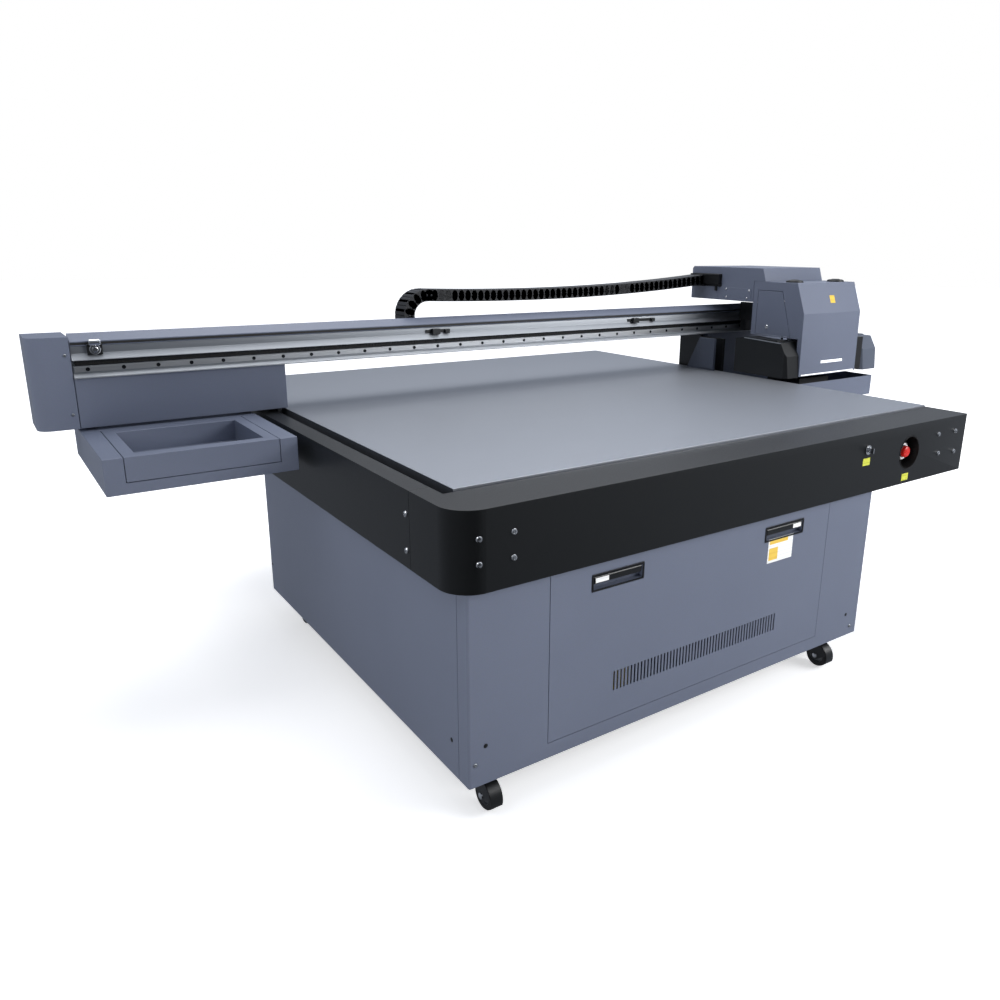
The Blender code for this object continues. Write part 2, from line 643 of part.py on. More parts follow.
def ink_tanks():
    """Ink bottles in a row on the cabinet floor behind the door, each with a screw cap."""
    width, depth, height = TANK_SIZE
    for i, ink in enumerate(INKS):
        x = TANK_X + i * TANK_PITCH
        body = box((x - width / 2, TANK_FRONT, FLOOR_TOP),
                   (x + width / 2, TANK_FRONT + depth, FLOOR_TOP + height))
        neck = cylinder((x, TANK_FRONT + depth / 2, FLOOR_TOP + height + 0.015), TANK_NECK_RADIUS,
                        0.050, "z", 20)
        part(f"ink_tank_{ink}", join(body, neck), "ink_tank")


# ---------------------------------------------------------------- table
def front_fascia():
    """Black front apron: a folded channel that turns the left corner in a wide radius."""
    r, t = CORNER_RADIUS, SHEET
    small = 0.012
    outer = ([(TABLE_LEFT, FASCIA_WRAP)]
             + arc((TABLE_LEFT + r, TABLE_FRONT + r), r, 180, 270, 14)
             + arc((TABLE_RIGHT - small, TABLE_FRONT + small), small, 270, 360, 4)
             + [(TABLE_RIGHT, FLANGE_BACK), (SLOT_LEFT, FLANGE_BACK), (SLOT_LEFT, FASCIA_WRAP)])
    inner = ([(TABLE_LEFT + t, FASCIA_WRAP + 1)]
             + arc((TABLE_LEFT + r, TABLE_FRONT + r), r - t, 180, 270, 14)
             + arc((TABLE_RIGHT - small, TABLE_FRONT + small), small - t, 270, 360, 4)
             + [(TABLE_RIGHT - t, FASCIA_WRAP + 1)])
    channel = cut(prism(outer, SKIRT_BOTTOM, SKIRT_TOP, "z"),
                  prism(inner, SKIRT_BOTTOM + t, SKIRT_TOP - t, "z"))
    round_cabinet = box((-SEAM, -SEAM, SKIRT_BOTTOM - 0.1),
                        (CABINET_WIDTH + SEAM, FASCIA_WRAP + 1, SKIRT_BOTTOM + t + GAP))
    stop_hole = cylinder((STOP_X, TABLE_FRONT, STOP_Z), STOP_CUP_RADIUS + 0.001, 0.03, "y", 48)
    key_hole = cylinder((KEY_X, TABLE_FRONT, KEY_Z), KEY_RADIUS * 0.7, 0.03, "y", 24)
    part("front_fascia", cut(channel, round_cabinet, stop_hole, key_hole), "black_paint")


def skirt_left():
    """Left apron: a channel with a top flange that stops at the leg's slot."""
    t = SHEET
    x0, x1 = TABLE_LEFT, -SEAM
    outline = [(x0, SKIRT_BOTTOM), (x1, SKIRT_BOTTOM), (x1, SKIRT_BOTTOM + t), (x0 + t, SKIRT_BOTTOM + t),
               (x0 + t, SKIRT_TOP - t), (SLOT_LEFT, SKIRT_TOP - t), (SLOT_LEFT, SKIRT_TOP), (x0, SKIRT_TOP)]
    skirt = prism(outline, FASCIA_WRAP + SEAM / 2, TABLE_BACK - SHEET - GAP, "y")
    part("skirt_left", skirt, "black_paint")


def skirt_right():
    """Right apron with the long slot that the right leg's arm runs in."""
    t = SHEET
    x0, x1 = TABLE_RIGHT - 0.020, TABLE_RIGHT
    outline = [(x0, SKIRT_BOTTOM), (x1, SKIRT_BOTTOM), (x1, SKIRT_TOP), (x0 + 0.010, SKIRT_TOP),
               (x0 + 0.010, SKIRT_TOP - t), (x1 - t, SKIRT_TOP - t), (x1 - t, SKIRT_BOTTOM + t),
               (x0, SKIRT_BOTTOM + t)]
    skirt = prism(outline, FLANGE_BACK + SEAM / 2, TABLE_BACK - SHEET - GAP, "y")
    slot = box((x0, GANTRY_FRONT + GANTRY_LOW - 0.080, RAIL_Z - 0.040),
               (x1 + 1, GANTRY_BACK + GANTRY_HIGH + 0.080, RAIL_Z + 0.040))
    part("skirt_right", cut(skirt, slot), "black_paint")


def skirt_back():
    """Back apron, a flat sheet across the table's back edge."""
    part("skirt_back", box((TABLE_LEFT, TABLE_BACK - SHEET, SKIRT_BOTTOM),
                           (TABLE_RIGHT, TABLE_BACK, SKIRT_TOP)), "black_paint")


def bed_plate():
    """Vacuum bed: a skin with a rim and crossed ribs below, lying on the table frame."""
    under = BED_TOP - BED_SKIN
    skin = box((BED_LEFT, BED_FRONT, BED_UNDER), (BED_RIGHT, BED_BACK, BED_TOP))
    wall = BED_SKIN
    pockets = []
    step_x = (BED_RIGHT - BED_LEFT - wall) / (BED_RIBS + 1)
    step_y = (BED_BACK - BED_FRONT - wall) / (BED_RIBS + 1)
    for i in range(BED_RIBS + 1):
        for j in range(BED_RIBS + 1):
            x, y = BED_LEFT + wall + i * step_x, BED_FRONT + wall + j * step_y
            pockets.append(box((x, y, BED_UNDER - 1), (x + step_x - wall, y + step_y - wall, under)))
    part("bed_plate", cut(skin, *pockets), "bed_aluminium")


def table_frame():
    """Ladder of folded channels under the bed; its two long members carry the gantry's rails."""
    z1 = BED_UNDER - GAP
    z0 = z1 - BEAM_HEIGHT
    s, inset, wall = BEAM_WIDTH, TABLE_BEAM_INSET, BEAM_WALL
    x0, x1 = BED_LEFT + inset, BED_RIGHT - inset - RAIL_ROOM
    y0, y1 = BED_FRONT + inset, BED_BACK - inset
    bars = [((x0, y0, z0), (x0 + s, y1, z1)), ((x1 - s, y0, z0), (x1, y1, z1))]
    count = 4
    for i in range(count):
        y = y0 + i * (y1 - y0 - s) / (count - 1)
        bars.append(((x0, y, z0), (x1, y + s, z1)))
    inside = [box((a[0] + wall, a[1] + wall, z0 - 1), (b[0] - wall, b[1] - wall, z1 - wall)) for a, b in bars]
    part("table_frame", cut(boxes(*bars), join(*inside)), "frame_steel")


def y_rails():
    """Linear rails on the outer faces of the table frame's long members."""
    y0, y1, h = BED_FRONT + RAIL_ENDS, BED_BACK - RAIL_ENDS, RAIL_HEIGHT / 2
    for name, x0 in (("y_rail_left", RAIL_FACE_LEFT - RAIL_SIZE), ("y_rail_right", RAIL_FACE_RIGHT)):
        rail = box((x0, y0, RAIL_Z - h), (x0 + RAIL_SIZE, y1, RAIL_Z + h))
        part(name, rail, "rail_steel")


def stop_switch():
    """Emergency stop: a round cup behind the fascia, its collar, and the mushroom head that moves."""
    y = TABLE_FRONT
    cup = cylinder((STOP_X, y + STOP_CUP_DEPTH / 2 - 0.001, STOP_Z), STOP_CUP_RADIUS, STOP_CUP_DEPTH, "y", 48)
    hollow = cylinder((STOP_X, y + STOP_CUP_DEPTH / 2 - SHEET, STOP_Z), STOP_CUP_RADIUS - SHEET,
                      STOP_CUP_DEPTH, "y", 48)
    base_y = y + STOP_CUP_DEPTH - SHEET
    cup = cut(cup, hollow)
    collar = cylinder((STOP_X, base_y - 0.006, STOP_Z), STOP_HEAD_RADIUS + STOP_COLLAR, 0.018, "y", 32)
    bore = cylinder((STOP_X, base_y - 0.020, STOP_Z), STOP_STEM_RADIUS + 0.0005, 0.040, "y", 20)
    part("stop_cup", cut(join(cup, collar), bore), "black_paint")
    front = base_y - 0.046
    profile = [(0, front), (0.012, front + 0.001), (STOP_HEAD_RADIUS - 0.004, front + 0.003),
               (STOP_HEAD_RADIUS, front + 0.008), (STOP_HEAD_RADIUS, front + 0.018),
               (STOP_STEM_RADIUS, front + 0.022), (STOP_STEM_RADIUS, base_y - 0.008), (0, base_y - 0.008)]
    part("stop_button", turned(profile, (STOP_X, STOP_Z), 32), "red_plastic",
         pivot=(STOP_X, front, STOP_Z))


def key_switch():
    """Key lock: a ringed barrel through the fascia, and the turning key in its slot."""
    y = TABLE_FRONT
    ring = cylinder((KEY_X, y - 0.002 - GAP, KEY_Z), KEY_RADIUS, 0.004, "y", 32)
    barrel = cylinder((KEY_X, y + 0.010, KEY_Z), KEY_RADIUS * 0.7 - GAP, 0.028, "y", 24)
    bore = cylinder((KEY_X, y, KEY_Z), KEY_BORE, 0.030, "y", 20)
    part("key_barrel", cut(join(ring, barrel), bore), "chrome")
    plug = cylinder((KEY_X, y + 0.003, KEY_Z), KEY_BORE - 0.0005, 0.020, "y", 20)
    bow = box((KEY_X - 0.002, y - KEY_BOW, KEY_Z - 0.010), (KEY_X + 0.002, y - 0.0055, KEY_Z + 0.010))
    part("key", join(plug, bow), "chrome", pivot=(KEY_X, y, KEY_Z))


def casters():
    """Four braked swivel casters: a plate and fork, and a wheel that turns between its cheeks."""
    top = CABINET_BOTTOM - GAP
    for y, row in zip(CASTER_Y, ("front", "back")):
        for x, side in zip(CASTER_X, ("left", "right")):
            wy = y - CASTER_TRAIL
            half = WHEEL_WIDTH / 2 + 0.002
            plate = cylinder((x, y, top - 0.006), 0.036, 0.012, "z", 24)
            crown = box((x - half - 0.004, wy - 0.020, top - 0.018),
                        (x + half + 0.004, y + 0.022, top - 0.010))
            fork = join(plate, crown)
            for cheek in (x - half - 0.004, x + half):
                outline = [(y + 0.020, top - 0.012), (wy - 0.018, top - 0.012),
                           (wy - 0.012, WHEEL_RADIUS - 0.012), (wy + 0.012, WHEEL_RADIUS - 0.012)]
                join(fork, prism(outline, cheek, cheek + 0.004, "x"))
            axle = cylinder((x, wy, WHEEL_RADIUS), AXLE_RADIUS, 2 * half + 0.014, "x", 16)
            part(f"caster_fork_{row}_{side}", join(fork, axle), "zinc_steel", pivot=(x, y, top))
            bore = cylinder((x, wy, WHEEL_RADIUS), AXLE_RADIUS + 0.0005, 1, "x", 16)
            wheel = bevel(cylinder((x, wy, WHEEL_RADIUS), WHEEL_RADIUS, WHEEL_WIDTH, "x", 40), 0.005, 2)
            bake(wheel)
            part(f"caster_wheel_{row}_{side}", cut(wheel, bore), "black_rubber",
                 pivot=(x, wy, WHEEL_RADIUS))


# ---------------------------------------------------------------- gantry
def x_beam():
    """Aluminium extrusion: a stepped and grooved front web on a flat foot that holds the chain trough."""
    f, low, high = GANTRY_FRONT, BEAM_BOTTOM, BEAM_TOP
    back, foot_back, foot_top = f + BEAM_DEPTH, GANTRY_BACK - 0.010, BEAM_BOTTOM + FOOT_THICKNESS
    face, nose, groove, step, lip = f + 0.006, f - 0.010, f + 0.026, f + BEAM_STEP, f - 0.014
    ledge = f + 0.022
    outline = [
        (ledge, high), (ledge, high - 0.002), (face, high - 0.002), (face, low + 0.091),
        (nose, low + 0.069), (nose, low + 0.066), (groove, low + 0.066), (groove, low + 0.045),
        (step, low + 0.045), (step, low + 0.018), (lip, low + 0.005), (lip, low),
        (foot_back, low), (foot_back, foot_top), (back, foot_top), (back, high),
    ]
    part("x_beam", prism(outline, BEAM_LEFT, BEAM_RIGHT, "x"), "beam_aluminium")


def x_guide_rail():
    """Bolted guide strip on the beam's lower step."""
    y, z, end = GANTRY_FRONT + BEAM_STEP - GAP, BEAM_BOTTOM + GUIDE_RISE, 2 * SEAM
    rail = box((BEAM_LEFT + end, y - GUIDE_SIZE[0], z), (BEAM_RIGHT - end, y, z + GUIDE_SIZE[1]))
    part("x_guide_rail", rail, "rail_steel")


def beam_cover():
    """Folded cover along the top of the beam's web."""
    f, t, top = GANTRY_FRONT, TROUGH_SHEET, GANTRY_TOP
    back, front_low, back_low = f + BEAM_DEPTH + CLEAR, top - 0.030, top - 0.032
    front_top, back_top = top - COVER_TILT, top + COVER_TILT
    outline = [(f, front_low), (f, front_top), (back, back_top), (back, back_low), (back - t, back_low),
               (back - t, back_top - 1.3 * t), (f + t, front_top - 0.8 * t), (f + t, front_low)]
    part("beam_cover", prism(outline, BEAM_LEFT, BEAM_RIGHT, "x"), "blue_grey_paint")


def end_covers():
    """Box-shaped covers on the gantry's ends, open towards the beam, with a rounded outer front edge."""
    f, b, t, r = GANTRY_FRONT - SEAM, GANTRY_BACK, SHEET, END_RADIUS
    top = GANTRY_TOP + 0.005
    for side, outer_x, way in (("left", GANTRY_LEFT, 1), ("right", GANTRY_RIGHT, -1)):
        inner_x = outer_x + way * END_COVER_WIDTH

        def plan(offset, open_x):
            curve = arc((r, r), r - offset, 270, 180, 8)
            points = [(outer_x + way * u, f + v) for u, v in curve]
            corner = (outer_x + way * offset, b - offset)
            return [(open_x, f + offset), *points, corner, (open_x, b - offset)]

        shell = prism(plan(0, inner_x), COVER_BOTTOM, top, "z")
        hollow = prism(plan(t, inner_x + way), COVER_BOTTOM + t, top - t, "z")
        chain_low = CHAIN_BEND_X - CHAIN_RADIUS - CHAIN_THICKNESS / 2 - CARRIAGE_TRAVEL / 2 - CLEAR
        notch = box((chain_low, CHAIN_FRONT - CLEAR, GANTRY_TOP - 0.05),
                    (LEFT_PANEL_RIGHT, CHAIN_FRONT + CHAIN_WIDTH + CLEAR, GANTRY_TOP + 1))
        part(f"gantry_cover_{side}", cut(cut(shell, hollow), notch), "blue_grey_paint")


def gantry_panel_left():
    """Housing under the beam's left end: a channel closed at its inner end, open at the top."""
    f, b, t = GANTRY_FRONT + SEAM, GANTRY_BACK, SHEET
    x0, x1 = BEAM_LEFT, LEFT_PANEL_RIGHT
    shell = box((x0, f, COVER_BOTTOM), (x1, b, BEAM_BOTTOM - GAP))
    hollow = box((x0 - 1, f + t, COVER_BOTTOM + t), (x1 - t, b - t, BEAM_BOTTOM + 1))
    slot = box((LEG_LEFT_X - CLEAR, LEG_FRONT - CLEAR, COVER_BOTTOM - 1),
               (LEG_LEFT_X + LEG_THICKNESS + CLEAR, LEG_BACK + CLEAR, COVER_BOTTOM + 2 * t))
    part("gantry_panel_left", cut(cut(shell, hollow), slot), "blue_grey_paint")


def legs():
    """Leg plates that hang from the beam to the bearing blocks on the table's rails."""
    y0, y1 = LEG_FRONT, LEG_BACK
    z0, z1 = RAIL_Z - BEARING_HEIGHT / 2, RAIL_Z + BEARING_HEIGHT / 2
    top = BEAM_BOTTOM - GAP
    rail_out = RAIL_FACE_LEFT - RAIL_SIZE - GAP
    blade = box((LEG_LEFT_X, y0, z0), (LEG_LEFT_X + LEG_THICKNESS, y1, top))
    block = box((LEG_LEFT_X + 0.002, y0 - 0.040, z0 - 0.004), (rail_out, y1 + 0.040, z1))
    part("leg_left", join(blade, block), "frame_steel")
    rail_in = RAIL_FACE_RIGHT + RAIL_SIZE + GAP
    outline = [(y0 - 0.200, z0), (y1, z0), (y1, top), (y0, top), (y0 - 0.030, top - 0.015),
               (y0 - 0.200, top - 0.015)]
    blade = prism(outline, LEG_RIGHT_X, LEG_RIGHT_X + LEG_THICKNESS, "x")
    arm = box((rail_in, y0 - 0.040, z0 + 0.004), (LEG_RIGHT_X + 0.004, y1 - 0.004, z1))
    part("leg_right", join(blade, arm), "black_paint")


def station_housing():
    """Right-hand housing: an open-topped box under the parked carriage and an upright under the beam."""
    t = SHEET
    x0, x1 = STATION_LEFT, STATION_RIGHT
    f, b = STATION_FRONT, GANTRY_BACK
    low = STATION_TOP - STATION_HEIGHT
    tub = cut(box((x0, f, low), (x1, GANTRY_FRONT, STATION_TOP)),
              box((x0 + t, f + t, low + t), (x1 - t, GANTRY_FRONT - t, STATION_TOP + 1)))
    upright = cut(box((x0, GANTRY_FRONT - t, low), (x1, b, BEAM_BOTTOM - GAP)),
                  box((x0 + t, GANTRY_FRONT, low + t), (x1 - t, b - t, BEAM_BOTTOM + 1)))
    part("station_housing", join(tub, upright), "blue_grey_paint")


def capping_station():
    """Rubber-lipped cap tray that the print heads park on, on a pedestal in the station."""
    x, y, top = (CARRIAGE_LEFT + CARRIAGE_RIGHT) / 2, CARRIAGE_NOSE + 0.192, STATION_TOP
    floor = STATION_TOP - STATION_HEIGHT + SHEET + GAP
    pedestal = box((x - 0.080, y - 0.080, floor), (x + 0.080, y + 0.080, top - 0.020))
    tray = box((x - 0.130, y - 0.110, top - 0.030), (x + 0.130, y + 0.110, top + 0.002))
    wells = [box((x - 0.120 + i * 0.062, y - 0.100, top - 0.016), (x - 0.066 + i * 0.062, y + 0.100, top + 1))
             for i in range(4)]
    part("capping_station", cut(join(pedestal, tray), *wells), "black_plastic")


def chain_trough():
    """Channel on the beam's foot in which the lower run of the cable chain lies."""
    t = TROUGH_SHEET
    y0, y1 = GANTRY_FRONT + BEAM_DEPTH + 0.010, GANTRY_BACK - 2 * t
    z0, z1 = BEAM_BOTTOM + FOOT_THICKNESS + GAP, BEAM_TOP - 2 * t
    outline = [(y0, z1), (y0, z0), (y1, z0), (y1, z1 + 0.006), (y1 - t, z1 + 0.006), (y1 - t, z0 + t),
               (y0 + t, z0 + t), (y0 + t, z1)]
    part("chain_trough", prism(outline, BEAM_LEFT, BEAM_RIGHT, "x"), "black_paint")


def tray_box():
    """Box hung under the left housing: two side arms, a floor and a back, with room for the drawer."""
    x0, x1, f = TRAY_LEFT, TRAY_RIGHT, TRAY_FRONT
    b, bay_back = GANTRY_BACK - 0.010, GANTRY_FRONT - DRAWER_BACK
    body = box((x0, f, TRAY_BOTTOM), (x1, b, TRAY_TOP))
    bay = box((x0 + TRAY_SIDE, f - 1, DRAWER_BOTTOM - SEAM), (x1 - TRAY_SIDE, bay_back, TRAY_TOP + 1))
    hang = box((x0 + 0.060, GANTRY_FRONT + 0.030, TRAY_TOP - 0.010),
               (x1 - 0.060, b - 0.030, COVER_BOTTOM - GAP))
    t, low = SHEET, TRAY_BOTTOM - 1
    hollows = [box((x + t, f + t, low), (x + TRAY_SIDE - t, b - t, TRAY_TOP - t))
               for x in (x0, x1 - TRAY_SIDE)]
    hollows.append(box((x0 + TRAY_SIDE / 2, bay_back + t, low), (x1 - TRAY_SIDE / 2, b - t, TRAY_TOP - t)))
    hollows.append(box((x0 + TRAY_SIDE / 2, f + t, low),
                       (x1 - TRAY_SIDE / 2, GANTRY_FRONT, DRAWER_BOTTOM - SEAM - t)))
    shell = cut(cut(body, bay), join(*hollows))
    part("tray_box", join(shell, hang), "blue_grey_paint")


def tray_drawer():
    """Waste tray with a broad rim, which draws out towards the front."""
    x0, x1 = TRAY_LEFT + TRAY_SIDE + SEAM, TRAY_RIGHT - TRAY_SIDE - SEAM
    f, b = TRAY_FRONT, GANTRY_FRONT - DRAWER_BACK - SEAM
    body = box((x0, f, DRAWER_BOTTOM), (x1, b, TRAY_TOP))
    hollow = box((x0 + DRAWER_RIM, f + DRAWER_RIM + 0.012, DRAWER_BOTTOM + SHEET),
                 (x1 - DRAWER_RIM, b - DRAWER_BACK_RIM, TRAY_TOP + 1))
    t, low, high = SHEET, DRAWER_BOTTOM - 1, TRAY_TOP - SHEET
    well_front, well_back = f + DRAWER_RIM + 0.012 - t, b - DRAWER_BACK_RIM + t
    under_rim = [
        box((x0 + t, f + t, low), (x1 - t, well_front, high)),
        box((x0 + t, well_back, low), (x1 - t, b - t, high)),
        box((x0 + t, f + 2 * t, low), (x0 + DRAWER_RIM - t, b - 2 * t, high)),
        box((x1 - DRAWER_RIM + t, f + 2 * t, low), (x1 - t, b - 2 * t, high)),
    ]
    part("tray_drawer", cut(cut(body, hollow), join(*under_rim)), "blue_grey_paint",
         pivot=(x0, f, DRAWER_BOTTOM))


# ---------------------------------------------------------------- cable chain
def chain_loop():
    """The chain's bend and the run that lies in the trough."""
    z, h = (CHAIN_UPPER_Z + CHAIN_LOWER_Z) / 2, CHAIN_THICKNESS / 2
    outer = arc((CHAIN_BEND_X, z), CHAIN_RADIUS + h, 90, 270, 16)
    inner = arc((CHAIN_BEND_X, z), CHAIN_RADIUS - h, 270, 90, 12)
    right = CHAIN_BEND_X + CHAIN_LOWER_LENGTH
    outline = outer + [(right, CHAIN_LOWER_Z - h), (right, CHAIN_LOWER_Z + h)] + inner
    part("chain_loop", prism(outline, CHAIN_FRONT, CHAIN_FRONT + CHAIN_WIDTH, "y"), "black_plastic",
         pivot=(CHAIN_BEND_X, CHAIN_FRONT, CHAIN_UPPER_Z))


def chain_upper_run():
    """The chain's upper run, which sags a little between its bend and the carriage."""
    x0, x1 = CHAIN_BEND_X + GAP, CARRIAGE_LEFT - GAP
    h, steps = CHAIN_THICKNESS / 2, 14
    middle = []
    for i in range(steps + 1):
        s = i / steps
        middle.append((x0 + (x1 - x0) * s, CHAIN_UPPER_Z + CHAIN_RISE * s - 4 * CHAIN_SAG * s * (1 - s)))
    outline = [(x, z + h) for x, z in middle] + [(x, z - h) for x, z in reversed(middle)]
    part("chain_upper_run", prism(outline, CHAIN_FRONT, CHAIN_FRONT + CHAIN_WIDTH, "y"), "black_plastic",
         pivot=(CARRIAGE_LEFT, CHAIN_FRONT, CHAIN_UPPER_Z))


# ---------------------------------------------------------------- carriage
def carriage_profile(offset):
    """The housing's side view as (y, z) points, moved in by offset."""
    o = offset
    return [(CARRIAGE_BACK, CARRIAGE_BOTTOM), (CARRIAGE_NOSE + o, CARRIAGE_BOTTOM),
            (CARRIAGE_NOSE + 0.004 + o, CARRIAGE_BEND - 0.3 * o), (CARRIAGE_TOP_FRONT + o, CARRIAGE_TOP - o),
            (TOP_BOX_FRONT - SEAM, CARRIAGE_TOP - o), (CARRIAGE_BACK, CARRIAGE_TOP - o)]


def service_outline(inset):
    """The service door's (y, z) outline, shrunk by inset."""
    i = inset
    return [(SERVICE_HINGE_Y - i, SERVICE_BOTTOM + i), (SERVICE_HINGE_Y - i, SERVICE_TOP - i),
            (SERVICE_TOP_Y + i, SERVICE_TOP - i), (SERVICE_BOTTOM_Y + i, SERVICE_BOTTOM + i)]


def carriage_housing():
    """Folded steel hood with a kinked front; its sides stop above the lamps and its back is open."""
    t = SHEET
    x0, x1 = CARRIAGE_LEFT, CARRIAGE_RIGHT
    hood = prism(carriage_profile(0), x0, x1, "x")
    profile = carriage_profile(t)
    profile[0] = (CARRIAGE_BACK + 1, CARRIAGE_BOTTOM - 1)
    profile[1] = (CARRIAGE_NOSE + t, CARRIAGE_BOTTOM - 1)
    profile[-1] = (CARRIAGE_BACK + 1, CARRIAGE_TOP - t)
    hollow = prism(profile, x0 + t, x1 - t, "x")
    under = box((x0 - 1, CARRIAGE_NOSE + 0.030, CARRIAGE_BOTTOM - 1),
                (x1 + 1, CARRIAGE_BACK + 1, SIDE_BOTTOM))
    hood = cut(cut(hood, hollow), under)
    opening = prism(service_outline(-SEAM), x0 - 0.1, x0 + 0.1, "x")
    part("carriage_housing", cut(hood, opening), "blue_grey_paint")


def service_door():
    """Side door of the carriage, hinged along its rear edge."""
    door = prism(service_outline(0), CARRIAGE_LEFT, CARRIAGE_LEFT + SHEET, "x")
    part("service_door", door, "blue_grey_paint", pivot=(CARRIAGE_LEFT, SERVICE_HINGE_Y, SERVICE_BOTTOM))


def top_box():
    """Box that bridges the beam and takes the cable chain into the carriage."""
    t = SHEET
    x0, x1 = CARRIAGE_LEFT, CARRIAGE_RIGHT
    split = CARRIAGE_TOP + GAP

    def side(o):
        front_low = CARRIAGE_BACK + SEAM
        return [(front_low + o, TOP_BOX_BOTTOM + o), (TOP_BOX_BACK - o, TOP_BOX_BOTTOM + o),
                (TOP_BOX_BACK - o, TOP_BOX_TOP - 0.012 - o), (TOP_BOX_BACK - 0.012 - o, TOP_BOX_TOP - o),
                (TOP_BOX_FRONT + TOP_BOX_LEAN + o, TOP_BOX_TOP - o), (TOP_BOX_FRONT + o, split + o),
                (front_low + o, split + o)]

    shell = prism(side(0), x0, x1, "x")
    hollow = prism(side(t), x0 + t, x1 - t, "x")
    mouth = box((x0 + 0.060, CARRIAGE_BACK + 0.030, TOP_BOX_BOTTOM - 1),
                (x1 - 0.060, GANTRY_FRONT - 0.040, TOP_BOX_BOTTOM + 0.020))
    part("top_box", cut(cut(shell, hollow), mouth), "blue_grey_paint")


def carriage_backplate():
    """Machined plate between the hood and the beam, with the bearing shoe that grips the guide rail."""
    x0, x1, t, z = BACKPLATE_LEFT, BACKPLATE_RIGHT, BACKPLATE_ARM, BEAM_BOTTOM
    lip, under_box = GANTRY_FRONT - 0.0145, TOP_BOX_BOTTOM - 0.010
    rail_front = GANTRY_FRONT + BEAM_STEP - GUIDE_SIZE[0] - 2 * GAP
    plate = box((x0, CARRIAGE_BACK + 0.030, z + 0.049), (x1, CARRIAGE_BACK + 0.030 + t, under_box))
    arms = [box((x, CARRIAGE_BACK - 0.090, z + 0.077), (x + t, lip, under_box - 0.010))
            for x in (x0 - t / 2, x1 - t / 2)]
    shoe = box((x0, GANTRY_FRONT - 0.060, z + 0.009), (x1, lip, z + 0.087))
    grip = box((x0 + t, GANTRY_FRONT - 0.050, z + GUIDE_RISE + SEAM),
               (x1 - t, rail_front, z + GUIDE_RISE + GUIDE_SIZE[1] - SEAM))
    part("carriage_backplate", join(plate, *arms, shoe, grip), "black_paint")


def head_unit():
    """Print head plate with four heads below it, on the lift post that the carriage raises."""
    x, y = (CARRIAGE_LEFT + CARRIAGE_RIGHT) / 2, (CARRIAGE_NOSE + CARRIAGE_BACK) / 2 - 0.005
    z = LAMP_BOTTOM + 0.040
    plate = box((x - 0.190, y - 0.110, z), (x + 0.190, y + 0.110, z + 0.010))
    post = box((x - 0.080, y + 0.030, z + 0.005), (x + 0.080, y + 0.060, z + 0.230))
    unit = join(plate, post)
    for i in range(4):
        hx = x - 0.150 + i * 0.100
        head = box((hx - 0.032, y - 0.080, z - 0.034), (hx + 0.032, y + 0.020, z + 0.060))
        join(unit, head)
    part("head_unit", unit, "beam_aluminium")


def lamps():
    """UV lamp modules beside the carriage: chamfered covers, open below where the light leaves."""
    t, front, back, top = SHEET, CARRIAGE_NOSE + 0.004, LAMP_BACK, LAMP_BOTTOM + LAMP_HEIGHT
    nose = CARRIAGE_NOSE + 0.034          # the carriage's folded front edge ends before this

    def side(o):
        low = LAMP_BOTTOM - (1 if o else 0)
        return [(front + o, low), (front + 0.010 + o, LAMP_BOTTOM + 0.117),
                (front + 0.050 + o, top - 0.010 - o),
                (back - 0.060, top - o), (back - o, top - 0.010 - o), (back - o, low)]

    def cornered(solid, x, chamfer):
        wedge = prism([(x - 0.05, front + chamfer + 0.05), (x - 0.05, front - 0.05),
                       (x + chamfer + 0.05, front - 0.05)], LAMP_BOTTOM - 2, top + 1, "z")
        return cut(solid, wedge)

    right = CARRIAGE_RIGHT + LAMP_ARM
    for name, x0, x1, colour in (
            ("uv_lamp_left", CARRIAGE_LEFT - LAMP_WIDTH, CARRIAGE_LEFT + LAMP_LAP, "black_paint"),
            ("uv_lamp_right", right, right + LAMP_RIGHT_WIDTH, "lamp_grey")):
        shell = cornered(prism(side(0), x0, x1, "x"), x0, LAMP_CHAMFER)
        hollow = cornered(prism(side(t), x0 + t, x1 - t, "x"), x0, LAMP_CHAMFER + 1.5 * t)
        array = box((x0 + 0.018, front + 0.086, LAMP_BOTTOM + 0.020), (x1 - 0.018, back - 0.050, top - t / 2))
        lamp = join(cut(shell, hollow), array)
        if x0 < CARRIAGE_LEFT:
            lamp = cut(lamp, box((CARRIAGE_LEFT - GAP, 0, 0), (CARRIAGE_LEFT + 1, nose, 2)))
        else:
            lamp = join(lamp, box((CARRIAGE_RIGHT - LAMP_LAP, nose, LAMP_BOTTOM + 0.012),
                                  (x0 + t / 2, back - 0.030, top - 0.045)))
        part(name, lamp, colour)


def status_light():
    """Light strip set on the hood's front."""
    y = CARRIAGE_NOSE - GAP
    x, z = CARRIAGE_LEFT + LIGHT_INSET, CARRIAGE_BOTTOM + LIGHT_RISE
    strip = box((x, y - SHEET, z), (x + LIGHT_WIDTH, y, z + LIGHT_HEIGHT))
    part("status_light", bevel(strip, 0.001, 1), "white_diffuser")


for build in (base_frame, cabinet_floor, cabinet_front, cabinet_sides, cabinet_back, power_inlet, front_door,
              latches, electronics_box, vacuum_blower, ink_tanks, front_fascia, skirt_left, skirt_right,
              skirt_back, bed_plate, table_frame, y_rails, stop_switch, key_switch, casters, x_beam,
              x_guide_rail, beam_cover, end_covers, gantry_panel_left, legs, station_housing,
              capping_station, chain_trough, tray_box, tray_drawer, chain_loop, chain_upper_run,
              carriage_housing, service_door, top_box, carriage_backplate, head_unit, lamps, status_light):
    build()
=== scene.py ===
"""Flatbed UV printer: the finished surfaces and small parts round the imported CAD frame."""

import math

import bmesh
import bpy
from mathutils import Matrix, Vector


